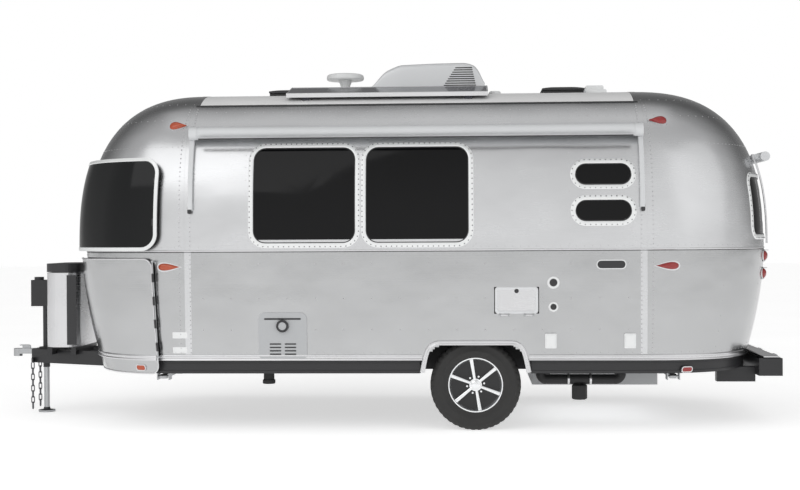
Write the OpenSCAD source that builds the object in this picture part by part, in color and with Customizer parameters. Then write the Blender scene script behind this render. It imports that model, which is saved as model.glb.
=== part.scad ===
// Travel caravan with one axle and a riveted aluminium body with rounded ends.
// X runs from the coupler (-) to the rear bumper (+). Y runs from the street side (-) to the
// entry door side (+). Z is up. The origin is on the ground, midway along the overall length.

/* [Body] */
// Width of the body at its belt line
body_width = 2440; // [2030:10:2930]
// Length of the straight part, between the two riveted seams
straight_length = 3477; // [3300:1:4200]
// Height of the roof's ridge above the ground
roof_height = 2665; // [2600:5:3200]
// Height of the belt line, where the body is widest
belt_height = 1390; // [1350:5:1420]
// Height of the lower edge of the aluminium skin
sill_height = 545; // [535:1:560]
// Height of the underside of the floor frame
underside_height = 443; // [438:1:455]
// Thickness of the walls, the roof and the entry door
wall_thickness = 45; // [35:1:60]
// How far the front end reaches ahead of its seam
front_reach = 1024; // [950:1:1100]
// How far the rear end reaches behind its seam
rear_reach = 1085; // [1000:1:1100]
// Roundness of the cross-section
section_power = 3.1; // [2.6:0.1:3.6]
// Roundness of the ends seen from above
plan_power = 2.5; // [2.2:0.1:3]

/* [Running gear] */
// Distance of the axle behind the front seam
axle_setback = 2202; // [2150:1:2450]
// Outside diameter of a tyre
tyre_diameter = 696; // [670:1:710]
// Width of a tyre
tyre_width = 205; // [185:5:215]
// Diameter of the rim's flange
rim_diameter = 426; // [420:1:440]
// Distance from the body's widest line in to a tyre's outer face
wheel_inset = 100; // [90:1:120]

/* [Tongue] */
// Distance from the front seam forward to the tip of the coupler
tongue_reach = 1770; // [1750:1:2100]
// Distance of the jack behind the coupler's tip
jack_setback = 286; // [250:1:300]
// Radius of the hitch ball's socket
ball_radius = 25.4; // [23:0.1:30.2]
// Height of the top of the tongue's beams
tongue_top = 545; // [540:1:556]
// Travel of the jack's leg
jack_travel = 300; // [200:10:320]

/* [Windows and door] */
// Height of the bottom of the side windows
window_bottom = 1442; // [1430:1:1500]
// Height of the top of the side windows
window_top = 2175; // [2050:1:2180]
// Width of a side window
window_width = 785; // [600:1:790]
// Width of the entry door
door_width = 660; // [560:5:680]
// Height of the top of the entry door
door_top = 2290; // [2100:5:2290]
// Distance of the entry door behind the front seam
door_setback = 873; // [860:1:1100]
// Gap round a door or hatch
door_gap = 8; // [7.5:0.5:9]

/* [Roof] */
// Length of the air conditioner
cooler_length = 938; // [760:1:940]
// Height of the air conditioner
cooler_height = 255; // [210:1:300]
// Side of a square roof vent's lid
vent_size = 350; // [300:1:420]

/* [Hidden] */
$fn = 64;

// Materials' colours
polished = "#b9bec4";
dark = "#1c1d1f";
pale = "#dcdddb";
tinted = "#2b2f33";
grey = "#8c9094";
amber = "#d98218";
red = "#a51716";

// Overall frame: everything hangs off the two seams, the belt line and the half width
half_width = body_width / 2;
bumper_overhang = 34;
overall_length = tongue_reach + straight_length + rear_reach + bumper_overhang;
coupler_tip = -overall_length / 2;
front_seam = coupler_tip + tongue_reach;
rear_seam = front_seam + straight_length;
rear_face = rear_seam + rear_reach + bumper_overhang;
axle_x = front_seam + axle_setback;
axle_z = tyre_diameter / 2;
roof_edge = roof_height - 135;
side_tuck = 35;
end_tuck = 147;
tuck_power = 1.8;
front_power = 2.55;
rear_power = 2.6;
seat = 0.3;
section_steps = 42;
end_columns = 60;
edge = 1;

// Share of a superellipse's half width left at a share t of its height
function swell(t, power) = pow(max(0, 1 - pow(t, power)), 1 / power);
function rise(z, inset) = (z - belt_height) / (roof_height - inset - belt_height);
function tucked(z, amount) = amount * pow((belt_height - z) / (belt_height - sill_height), tuck_power);
function body_half(z, inset = 0) = z >= belt_height
    ? (half_width - inset) * swell(rise(z, inset), section_power)
    : half_width - inset - tucked(z, side_tuck);
function end_reach(z, reach, power, inset = 0) = z >= belt_height
    ? (reach - inset) * swell(rise(z, inset), power)
    : reach - inset - tucked(z, end_tuck);
function roof_z(y, inset = 0) = belt_height + (roof_height - inset - belt_height)
    * swell(abs(y) / (half_width - inset), section_power);
function ramp(a, b, n) = [for (i = [0 : n]) a + (b - a) * i / n];
function plan_share(v) = sign(v) * pow(abs(v), 2 / plan_power);

// Outline of a plan section through the whole body at one height
function plan_outline(z, inset) = concat(
    [for (a = ramp(0, 180, end_columns)) [rear_seam
        + end_reach(z, rear_reach, rear_power, inset) * plan_share(sin(a)),
        body_half(z, inset) * plan_share(cos(a))]],
    [for (a = ramp(180, 0, end_columns)) [front_seam
        - end_reach(z, front_reach, front_power, inset) * plan_share(sin(a)),
        body_half(z, inset) * plan_share(cos(a))]]);

// Corner arc of a rounded outline
function arc(cx, cy, r, a0, a1, n) = [for (a = ramp(a0, a1, n)) [cx + r * cos(a), cy + r * sin(a)]];
function rounded(x0, x1, y0, y1, r, n = 6) = concat(
    arc(x1 - r, y1 - r, r, 0, 90, n), arc(x0 + r, y1 - r, r, 90, 180, n),
    arc(x0 + r, y0 + r, r, 180, 270, n), arc(x1 - r, y0 + r, r, 270, 360, n));

module block(x0, x1, y0, y1, z0, z1) {
    translate([x0, y0, z0]) cube([x1 - x0, y1 - y0, z1 - z0]);
}
// Puts a shape drawn for the door side (+Y) on either side
module on_side(side) {
    mirror([0, side < 0 ? 1 : 0, 0]) children();
}
// Prism along X from an outline in Y and Z
module along_x(x0, x1) {
    translate([x0, 0, 0]) rotate([90, 0, 90]) linear_extrude(x1 - x0) children();
}
// Prism along Y from an outline in X and Z
module along_y(y0, y1) {
    translate([0, y1, 0]) rotate([90, 0, 0]) linear_extrude(y1 - y0) children();
}
// Strip of the wall's section, between two distances outside the skin
module wall_strip(x0, x1, z0, z1, low, high, steps) {
    zs = ramp(z0, z1, steps);
    along_x(x0, x1) polygon(concat([for (z = zs) [body_half(z, -low), z]],
        [for (i = [steps : -1 : 0]) [body_half(zs[i], -high), zs[i]]]));
}
// Patch that follows the wall inside a rounded outline
module wall_patch(x0, x1, z0, z1, r, low, high, n = 6) {
    intersection() {
        wall_strip(x0 - edge, x1 + edge, z0 - edge, z1 + edge, low, high, ceil((z1 - z0) / 45) + 1);
        along_y(half_width / 2, half_width * 2) polygon(rounded(x0, x1, z0, z1, r, n));
    }
}
// Pad from just outside the skin out to a flat face at y = face
module wall_pad(x0, x1, z0, z1, face, low = seat) {
    steps = ceil((z1 - z0) / 25);
    zs = ramp(z0, z1, steps);
    along_x(x0, x1) polygon(concat([for (z = zs) [body_half(z, -low), z]],
        [[face, z1], [face, z0]]));
}

// A curved shell on one end, over rows of heights and columns of angles round the plan.
// A row is a height below the belt line, or the belt line plus a share of the way to the ridge.
function row_z(row, inset) = row <= 0 ? belt_height + row
    : belt_height + row * (roof_height - inset - belt_height);
function end_point(row, a, reach, power, inset) = let (z = row_z(row, inset))
    [end_reach(z, reach, power, inset) * plan_share(sin(a)),
        body_half(z, inset) * plan_share(cos(a)), z];
module end_shell(rows, cols, reach, power, outer, inner, holes = []) {
    nr = len(rows);
    nc = len(cols);
    pole = rows[nr - 1] >= 1;
    skin_points = nr * nc;
    points = concat(
        [for (i = [0 : nr - 1], a = cols) end_point(rows[i], a, reach, power, outer)],
        [for (i = [0 : nr - 1], a = cols) end_point(rows[i], a, reach, power, inner)]);
    function at(side, i, j) = side * skin_points + i * nc + (pole && i == nr - 1 ? 0 : j);
    function open(i, j) = i < 0 || j < 0 || i > nr - 2 || j > nc - 2
        || len([for (h = holes) if (i >= h[0] && i < h[1] && j >= h[2] && j < h[3]) 1]) > 0;
    function quad(a, b, c, d) = [for (t = [[c, b, a], [d, c, a]])
        if (t[0] != t[1] && t[1] != t[2] && t[0] != t[2]) t];
    faces = [for (i = [0 : nr - 2], j = [0 : nc - 2]) if (!open(i, j)) each concat(
        quad(at(0, i, j), at(0, i + 1, j), at(0, i + 1, j + 1), at(0, i, j + 1)),
        quad(at(1, i, j), at(1, i, j + 1), at(1, i + 1, j + 1), at(1, i + 1, j)),
        open(i - 1, j) ? quad(at(0, i, j + 1), at(1, i, j + 1), at(1, i, j), at(0, i, j)) : [],
        open(i + 1, j) ? quad(at(0, i + 1, j), at(1, i + 1, j), at(1, i + 1, j + 1),
            at(0, i + 1, j + 1)) : [],
        open(i, j - 1) ? quad(at(0, i, j), at(1, i, j), at(1, i + 1, j), at(0, i + 1, j)) : [],
        open(i, j + 1) ? quad(at(0, i + 1, j + 1), at(1, i + 1, j + 1), at(1, i, j + 1),
            at(0, i, j + 1)) : [])];
    polyhedron(points, faces);
}
module at_front() {
    translate([front_seam, 0, 0]) mirror([1, 0, 0]) children();
}
module at_rear() {
    translate([rear_seam, 0, 0]) children();
}
function col(n) = 180 * n / end_columns;
function share(z) = (z - belt_height) / (roof_height - belt_height);
// How far the skin of an end lies from its seam, at one height and distance off the centre line
function skin_x(y, z, reach, power) = end_reach(z, reach, power)
    * swell(abs(y) / body_half(z), plan_power);

// Rows and window cells shared by the ends, their glass and the window guard
end_window_low = share(1490);
end_window_high = share(1940);
window_rows = 6;
top_rows = 12;
cap_rows = concat([0], ramp(end_window_low, end_window_high, window_rows),
    [for (i = [1 : top_rows]) end_window_high + (1 - end_window_high) * sin(90 * i / top_rows)]);
lower_rows = ramp(sill_height - belt_height, 0, 6);
front_windows = [[5, 16], [18, 42], [44, 55]];
rear_windows = [[17, 43]];

module floor_pan() {
    well = axle_x - well_half - seat;
    color(dark) difference() {
        union() {
            translate([0, 0, underside_height]) linear_extrude(sill_height - underside_height)
                polygon(plan_outline(sill_height, 25));
            translate([0, 0, sill_height - edge]) linear_extrude(floor_thickness)
                polygon(plan_outline(sill_height, wall_thickness + 5));
            for (x = [step_x0 - 10, step_x0 + step_width + 0.5]) block(x, x + 9.5, step_y0, step_y1 - 20,
                step_z - 6, underside_height + edge);
            for (x = [step_x0 - 10, step_x0 + step_width - 10]) block(x, x + 20, step_y0, step_y1 - 20,
                step_z - 6, step_z - 0.5);
        }
        for (side = [-1, 1]) on_side(side)
            block(well, 2 * axle_x - well, well_inner - seat, half_width + edge,
                underside_height - edge, sill_height + floor_thickness + edge);
    }
}
floor_thickness = 46;

// Wheel wells
well_half = 424;
well_inner = half_width - wheel_inset - tyre_width - 100;
well_top = 770;
well_sheet = 6;
arch_bottom_half = 418;
arch_top_half = 294;
arch_top = 661;
function arch_shape(grow) = [[axle_x - arch_bottom_half - grow, sill_height - 60],
    [axle_x - arch_bottom_half - grow + 32, sill_height + 40],
    [axle_x - arch_top_half - grow * 0.7 - 42, arch_top - 28 + grow * 0.7],
    [axle_x - arch_top_half, arch_top + grow], [axle_x + arch_top_half, arch_top + grow],
    [axle_x + arch_top_half + grow * 0.7 + 42, arch_top - 28 + grow * 0.7],
    [axle_x + arch_bottom_half + grow - 32, sill_height + 40],
    [axle_x + arch_bottom_half + grow, sill_height - 60]];
module wheel_wells() {
    face = body_half(sill_height, wall_thickness) - 6;
    color(dark) for (side = [-1, 1]) on_side(side) difference() {
        block(axle_x - well_half, axle_x + well_half, well_inner, face, underside_height, well_top);
        block(axle_x - well_half + well_sheet, axle_x + well_half - well_sheet,
            well_inner + well_sheet, face + edge, underside_height - edge, well_top - well_sheet);
    }
}

// Tongue
beam_height = 115;
beam_width = 55;
tongue_bottom = tongue_top - beam_height;
beam_tail = front_seam - 250;
beam_tail_y = 640;
coupler_length = 190;
beam_nose = coupler_tip + coupler_length;
jack_x = coupler_tip + jack_setback;
cover_x0 = jack_x + 87;
cover_x1 = cover_x0 + 283;
cover_half = 350;
tray_z = 580;
module tongue_beam() {
    tail = [beam_tail, beam_tail_y];
    nose = [beam_nose, 45];
    run = norm(tail - nose);
    translate([nose[0], nose[1], tongue_bottom]) rotate(atan2(tail[1] - nose[1], tail[0] - nose[0]))
        translate([0, -beam_width / 2, 0]) cube([run, beam_width, beam_height]);
}
module tongue_frame() {
    color(dark) difference() {
        union() {
            for (side = [-1, 1]) on_side(side) tongue_beam();
            block(beam_nose, jack_x + 90, -75, 75, tongue_top - 10, tongue_top);
            block(beam_nose, beam_nose + 60, -60, 60, tongue_bottom, tongue_top);
            block(beam_nose, beam_nose + chain_bar, -chain_y - 16, chain_y + 16, chain_top, chain_top + 34);
            block(cover_x0 + 20, cover_x0 + 60, -cover_half + 30, cover_half - 30, tongue_top - 30, tray_z);
            block(cover_x1 - 60, cover_x1 - 20, -cover_half + 30, cover_half - 30, tongue_top - 30, tray_z);
        }
        translate([0, 0, underside_height - edge]) linear_extrude(sill_height + edge)
            polygon(plan_outline(sill_height, 25 - seat));
        linear_extrude(underside_height) polygon(plan_outline(sill_height, 25 + 280));
        translate([jack_x, 0, tongue_bottom - edge]) cylinder(r = jack_tube_radius + seat, h = 2 * beam_height);
    }
}
ball_height = 500;
ball_clearance = 0.4;
coupler_wall = 12;
module coupler() {
    shell = ball_radius + coupler_wall;
    ball_x = coupler_tip + shell;
    color(grey) difference() {
        union() {
            translate([ball_x, 0, ball_height - 20]) cylinder(r = shell, h = 65);
            block(ball_x, beam_nose - seat, -32, 32, ball_height, ball_height + 45);
            block(ball_x + 40, ball_x + 110, -9, 9, ball_height + 40, ball_height + 72);
            block(ball_x + 18, ball_x + 96, -16, 16, ball_height + 68, ball_height + 76);
        }
        translate([ball_x, 0, ball_height - 20 - edge]) cylinder(r = ball_radius + ball_clearance, h = 46 + edge);
    }
}

// Jack
jack_tube_radius = 28.5;
jack_bore = 25;
jack_leg_radius = 24;
jack_head_z = 909;
module jack_tube() {
    color(dark) union() {
        difference() {
            translate([jack_x, 0, 385]) cylinder(r = jack_tube_radius, h = jack_head_z - 385 + edge);
            translate([jack_x, 0, 385 - edge]) cylinder(r = jack_bore, h = jack_head_z - 385);
        }
        difference() {
            translate([jack_x, 0, tongue_top]) cylinder(r = 62, h = 14);
            translate([jack_x, 0, tongue_top - edge]) cylinder(r = jack_bore + edge, h = 20);
        }
        block(jack_x - 116, jack_x + 42, -52, 52, jack_head_z, jack_head_z + 225);
        translate([jack_x - 60, 0, jack_head_z + 224]) cylinder(r = 40, h = 26);
    }
}
module jack_leg() {
    color(pale) union() {
        translate([jack_x, 0, 12]) cylinder(r = jack_leg_radius, h = 560);
        translate([jack_x, 0, 0]) cylinder(r = 71, h = 16);
    }
}

// Safety chains: two hanging rows of links
link_wire = 4.6;
link_half = 17;
link_bend = 12;
chain_links = 8;
chain_y = 100;
chain_bar = 14;
chain_x = beam_nose + chain_bar / 2;
chain_top = 438;
module chain_link() {
    for (s = [0, 180]) translate([0, 0, (s == 0 ? 1 : -1) * link_half]) rotate([90, s, 0])
        rotate_extrude(angle = 180, $fn = 24) translate([link_bend, 0]) circle(link_wire, $fn = 16);
    for (s = [-1, 1]) translate([s * link_bend, 0, -link_half])
        cylinder(r = link_wire, h = 2 * link_half, $fn = 16);
}
module safety_chains() {
    pitch = 2 * (link_half + link_bend - link_wire) - seat;
    color(grey) for (side = [-1, 1], i = [0 : chain_links - 1])
        translate([chain_x, side * chain_y, chain_top - seat - link_half - link_bend - link_wire - i * pitch])
            rotate([0, 0, 90 * (i % 2)]) chain_link();
}

// Gas bottles, their cover and its lid
cover_wall = 5;
cover_top = 1202;
lid_top = 1278;
cover_corner = 120;
module cover_plan(inset) {
    polygon(rounded(cover_x0 + inset, cover_x1 - inset, -cover_half + inset, cover_half - inset,
        cover_corner - inset, 8));
}
module gas_bottles() {
    color(pale) for (side = [-1, 1]) translate([(cover_x0 + cover_x1) / 2, side * 165, tray_z + seat]) {
        cylinder(r = 125, h = 420);
        translate([0, 0, 420 - edge]) cylinder(r1 = 125, r2 = 50, h = 60);
        translate([0, 0, 470]) cylinder(r = 45, h = 70);
    }
}
module gas_cover() {
    color(polished) translate([0, 0, tray_z + seat]) linear_extrude(cover_top - tray_z - seat) difference() {
        cover_plan(0);
        cover_plan(cover_wall);
    }
}
hinge_pin = 4;
hinge_bore = 4.5;
hinge_barrel = 8;
hinge_stand = hinge_barrel + 0.5;
// Barrel and pin of a small hinge, along X and centred on the origin
module hinge_leaf(length) {
    rotate([0, 90, 0]) cylinder(r = hinge_barrel, h = length, center = true);
}
module hinge_hole(length) {
    rotate([0, 90, 0]) cylinder(r = hinge_bore, h = length + 2 * edge, center = true);
}
module hinge_rod(length, lug = 14) {
    rotate([0, 90, 0]) cylinder(r = hinge_pin, h = length + 2 * lug, center = true);
    for (s = [-1, 1]) translate([s * (length / 2 + lug / 2 + 0.5), 0, 0])
        rotate([0, 90, 0]) cylinder(r = hinge_barrel, h = lug, center = true);
}
gas_hinge_x = cover_x1 + hinge_stand;
gas_hinge_z = cover_top - 4;
gas_hinge_y = 140;
lid_gap = 6;
module gas_cover_lid() {
    low = cover_top + lid_gap;
    color(dark) difference() {
        union() {
            translate([0, 0, low]) linear_extrude(lid_top - low) cover_plan(-2);
            for (side = [-1, 1]) translate([gas_hinge_x, side * gas_hinge_y, gas_hinge_z]) {
                rotate([0, 0, 90]) hinge_leaf(60);
                translate([-7.7, -30, 0]) cube([2.8, 60, 34]);
            }
        }
        translate([0, 0, low - edge]) linear_extrude(lid_top - low - cover_wall + edge) cover_plan(cover_wall);
        for (side = [-1, 1]) translate([gas_hinge_x, side * gas_hinge_y, gas_hinge_z])
            rotate([0, 0, 90]) hinge_hole(60);
    }
}

// Axle, with a trailing arm and spindle for each wheel
beam_x = axle_x - 150;
axle_tube = 68;
arm_inner = well_inner + well_sheet + 12;
tyre_outer = half_width - wheel_inset;
tyre_inner = tyre_outer - tyre_width;
spindle_radius = 22;
module axle() {
    arm_outer = arm_inner + 45;
    color(dark) union() {
        block(beam_x - axle_tube / 2, beam_x + axle_tube / 2, -arm_inner - 5, arm_inner + 5,
            underside_height - seat - axle_tube, underside_height - seat);
        for (side = [-1, 1]) on_side(side) {
            along_y(arm_inner, arm_outer) polygon([[beam_x - 45, underside_height - 70],
                [beam_x - 30, underside_height - 12], [beam_x + 40, underside_height - 12],
                [axle_x + 45, axle_z + 20], [axle_x + 45, axle_z - 30], [axle_x - 10, axle_z - 45]]);
            translate([axle_x, arm_inner + 5, axle_z]) rotate([-90, 0, 0])
                cylinder(r = spindle_radius, h = tyre_outer - 60 - arm_inner);
        }
    }
}

// Wheels
module ring_profile(points) {
    rotate([-90, 0, 0]) rotate_extrude($fn = 96) polygon(points);
}
rim_seat = rim_diameter / 2 - 17;
flange_inset = 20;
bead_inset = 25;
module tyre_shape() {
    r = tyre_diameter / 2;
    w = tyre_width;
    bead = rim_seat + seat;
    lip = rim_diameter / 2 + seat;
    half = [[bead, bead_inset + edge], [lip, flange_inset + edge], [bead + 32, 12], [r - 70, 0], [r - 34, 6],
        [r - 8, 24], [r, 42]];
    translate([axle_x, tyre_inner, axle_z]) ring_profile(concat(half,
        [for (i = [len(half) - 1 : -1 : 0]) [half[i][0], w - half[i][1]]]));
}
module rim_shape() {
    r = rim_diameter / 2;
    w = tyre_width;
    barrel = rim_seat - 8;
    translate([axle_x, tyre_inner, axle_z]) difference() {
        union() {
            ring_profile([[barrel, 14], [r, 14], [r, flange_inset], [rim_seat, bead_inset],
                [rim_seat, w - bead_inset], [r, w - flange_inset], [r, w - 8], [r - 14, w - 8], [barrel, w - 22]]);
            rotate([-90, 0, 0]) translate([0, 0, w - 75]) cylinder(r = 95, h = 55);
            for (k = [0 : 5]) rotate([0, k * 60 + 9, 0]) translate([60, w - 75, -24])
                cube([rim_seat - 64, 42, 48]);
            rotate([-90, 0, 0]) translate([0, 0, 30]) cylinder(r = 128, h = w - 75 - 30 + edge);
        }
        rotate([-90, 0, 0]) translate([0, 0, -edge]) cylinder(r = spindle_radius + 0.5, h = w - 32);
    }
}
module tyre_left() { color(dark) on_side(-1) tyre_shape(); }
module rim_left() { color(polished) on_side(-1) rim_shape(); }
module tyre_right() { color(dark) tyre_shape(); }
module rim_right() { color(polished) rim_shape(); }

// Side windows: distance behind the front seam, width, bottom, top, corner radius
pill_height = 162;
pill_width = 425;
pill_start = straight_length - 517;
left_windows = [[508, window_width, window_bottom, window_top, 95],
    [508 + window_width + 79, window_width, window_bottom, window_top, 95],
    [pill_start, pill_width, 1873, 1873 + pill_height, pill_height / 2 - 1],
    [pill_start, pill_width, 1597, 1597 + pill_height, pill_height / 2 - 1]];
right_windows = [[110, 620, window_bottom, window_top, 95],
    [door_setback + door_width + 260, window_width, window_bottom, window_top, 95],
    [straight_length - 640, 520, 1700, window_top, 95]];
frame_width = 36;
module window_prism(w, grow) {
    along_y(half_width / 2, half_width * 2) polygon(rounded(front_seam + w[0] - grow,
        front_seam + w[0] + w[1] + grow, w[2] - grow, w[3] + grow, w[4] + grow));
}
module arch_cut() {
    along_y(half_width / 2, half_width * 2) polygon(arch_shape(0));
}
module side_wall(windows) {
    difference() {
        wall_strip(front_seam, rear_seam, sill_height, roof_edge, 0, -wall_thickness, section_steps);
        for (w = windows) window_prism(w, 0);
        arch_cut();
        children();
    }
}
hatch_x0 = axle_x + 149;
hatch_x1 = hatch_x0 + 327;
hatch_z0 = 899;
hatch_z1 = 1104;
module side_wall_left() {
    color(polished) on_side(-1) side_wall(left_windows)
        along_y(half_width / 2, half_width * 2) polygon(rounded(hatch_x0 - hatch_gap, hatch_x1 + hatch_gap,
            hatch_z0 - hatch_gap, hatch_z1 + hatch_gap, 34));
}
hatch_gap = 8;
door_x0 = front_seam + door_setback;
door_x1 = door_x0 + door_width;
door_z0 = 600;
door_rebate = 16;
door_skin = 12;
// Door outline, with the inner layer of the leaf narrower on its latch side
module door_prism(gap, narrow = 0) {
    along_y(half_width / 2, half_width + 60) polygon(rounded(door_x0 - gap, door_x1 + gap - narrow,
        door_z0 - gap, door_top + gap, 90));
}
module side_wall_right() {
    color(polished) side_wall(right_windows) door_prism(door_gap);
}
module roof_panel() {
    edge_y = body_half(roof_edge);
    inner_edge = body_half(roof_edge, wall_thickness);
    n = 28;
    color(pale) difference() {
        along_x(front_seam, rear_seam) polygon(concat(
            [for (y = ramp(-edge_y, edge_y, n)) [y, roof_z(y)]],
            [for (y = ramp(inner_edge, -inner_edge, n)) [y, roof_z(y, wall_thickness)]]));
        for (x = vent_places) block(x - vent_size / 2 + 45, x + vent_size / 2 - 45,
            -vent_size / 2 + 45, vent_size / 2 - 45, roof_height - 2 * wall_thickness, roof_height + edge);
    }
}
function holes_for(windows) = [for (w = windows) [1, 1 + window_rows, w[0], w[1]]];
cap_cols = ramp(0, 180, end_columns);
module front_end_upper() {
    color(polished) at_front() end_shell(cap_rows, cap_cols, front_reach, front_power, 0,
        wall_thickness, holes_for(front_windows));
}
module front_end_lower() {
    color(polished) at_front() end_shell(lower_rows, cap_cols, front_reach, front_power, 0, wall_thickness);
}
module rear_end_upper() {
    color(polished) at_rear() end_shell(cap_rows, cap_cols, rear_reach, rear_power, 0,
        wall_thickness, holes_for(rear_windows));
}
module rear_end_lower() {
    color(polished) at_rear() end_shell(lower_rows, cap_cols, rear_reach, rear_power, 0, wall_thickness);
}

// Glass fills each window, and a frame laps the skin round it
glass_out = -8;
glass_in = -14;
glass_gap = 0.0003;
module wall_window_glass(w) {
    intersection() {
        wall_strip(front_seam + w[0] - edge, front_seam + w[0] + w[1] + edge, w[2] - edge, w[3] + edge,
            glass_out, glass_in, 12);
        window_prism(w, -seat);
    }
}
module wall_window_frame(w) {
    difference() {
        intersection() {
            wall_strip(front_seam + w[0] - frame_width - edge, front_seam + w[0] + w[1] + frame_width + edge,
                w[2] - frame_width - edge, w[3] + frame_width + edge, seat, 7, 24);
            window_prism(w, frame_width);
        }
        window_prism(w, -6);
    }
}
module window_glass() {
    color(tinted) {
        on_side(-1) for (w = left_windows) wall_window_glass(w);
        for (w = right_windows) wall_window_glass(w);
        rows = ramp(end_window_low + glass_gap, end_window_high - glass_gap, window_rows);
        at_front() for (w = front_windows) end_shell(rows, ramp(col(w[0]) + 0.1, col(w[1]) - 0.1, w[1] - w[0]),
            front_reach, front_power, 10, 16);
        at_rear() for (w = rear_windows) end_shell(rows, ramp(col(w[0]) + 0.1, col(w[1]) - 0.1, w[1] - w[0]),
            rear_reach, rear_power, 10, 16);
    }
}
module end_window_frame(w, reach, power) {
    n = w[1] - w[0];
    rows = concat([end_window_low - 0.02], ramp(end_window_low + 0.004, end_window_high - 0.004, window_rows),
        [end_window_high + 0.02]);
    cols = concat([col(w[0]) - 1.2], ramp(col(w[0]) + 0.3, col(w[1]) - 0.3, n), [col(w[1]) + 1.2]);
    end_shell(rows, cols, reach, power, -8, -seat, [[1, 1 + window_rows, 1, 1 + n]]);
}
module window_frames() {
    color(pale) {
        on_side(-1) for (w = left_windows) wall_window_frame(w);
        for (w = right_windows) wall_window_frame(w);
        at_front() for (w = front_windows) end_window_frame(w, front_reach, front_power);
        at_rear() for (w = rear_windows) end_window_frame(w, rear_reach, rear_power);
    }
}

// Guard over the front windows, hinged along its top edge
guard_low = share(1400);
guard_high = share(2085);
guard_rows = 8;
guard_first = 3;
guard_out = 62;
guard_in = 54;
guard_hinge_z = 2104;
guard_hinge_y = 230;
guard_hinge_half = 45;
guard_foot_gap = 0.2;
guard_hinge_x = front_seam - skin_x(guard_hinge_y, guard_hinge_z, front_reach, front_power) - 44;
module window_guard() {
    n = end_columns - 2 * guard_first;
    color(tinted) difference() {
        union() {
            at_front() end_shell(ramp(guard_low, guard_high, guard_rows), ramp(col(guard_first),
                col(end_columns - guard_first), n), front_reach, front_power, -guard_out, -guard_in,
                [[guard_rows - 1, guard_rows, 0, 2], [guard_rows - 1, guard_rows, n - 2, n]]);
            for (side = [-1, 1]) {
                guard_hinge(side) hinge_leaf(2 * guard_hinge_half);
                along_y(side * guard_hinge_y - guard_hinge_half, side * guard_hinge_y + guard_hinge_half)
                    polygon([[guard_hinge_x + 6, guard_hinge_z - 2], [guard_hinge_x + 2, guard_hinge_z - 16],
                        guard_point(44), guard_point(2)]);
            }
        }
        for (side = [-1, 1]) guard_hinge(side) hinge_hole(2 * guard_hinge_half);
    }
}
// A point within the guard's thickness, at some distance below its hinges
function guard_point(drop) = let (z = guard_hinge_z - drop, mid = -(guard_in + guard_out) / 2)
    [front_seam - end_reach(z, front_reach, front_power, mid)
        * swell(guard_hinge_y / body_half(z, mid), plan_power), z];
module guard_hinge(side) {
    translate([guard_hinge_x, side * guard_hinge_y, guard_hinge_z]) rotate([0, 0, 90]) children();
}

// Stone guards round the lower front corners, each hinged on a rod along its rear edge
stone_low = sill_height + 5 - belt_height;
stone_high = 1327 - belt_height;
stone_angles = [10, 72];
stone_out = 38;
stone_in = 32;
rod_radius = 5;
rod_barrel = 9;
rod_offset = 45;
rod_low = 580;
rod_high = 1300;
rod_gap = 0.9;
rod_feet = [rod_low - rod_gap - 7, rod_high + rod_gap + 7];
rod_notch = 14;
function rod_point(z) = [front_seam - end_reach(z, front_reach, front_power, -rod_offset)
    * plan_share(sin(stone_angles[0])), body_half(z, -rod_offset) * plan_share(cos(stone_angles[0])), z];
module along_rod() {
    run = rod_point(rod_high) - rod_point(rod_low);
    translate(rod_point(rod_low)) rotate([0, acos(run[2] / norm(run)), atan2(run[1], run[0])]) children();
}
rod_length = norm(rod_point(rod_high) - rod_point(rod_low));
module stone_guard() {
    color(polished) difference() {
        union() {
            at_front() end_shell(ramp(stone_low, stone_high, 6), ramp(stone_angles[0], stone_angles[1], 20),
                front_reach, front_power, -stone_out, -stone_in);
            along_rod() for (s = [0.15, 0.5, 0.85]) translate([0, 0, s * rod_length - 40])
                cylinder(r = rod_barrel, h = 80);
        }
        along_rod() translate([0, 0, -60]) cylinder(r = rod_radius + 0.7, h = rod_length + 120);
        for (z = rod_feet) let (p = rod_point(z)) block(p[0] - rod_notch, p[0] + rod_notch, half_width / 2,
            half_width * 2, z - rod_notch, z + rod_notch);
    }
}
module stone_guard_left() { on_side(-1) stone_guard(); }
module stone_guard_right() { stone_guard(); }

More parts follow.
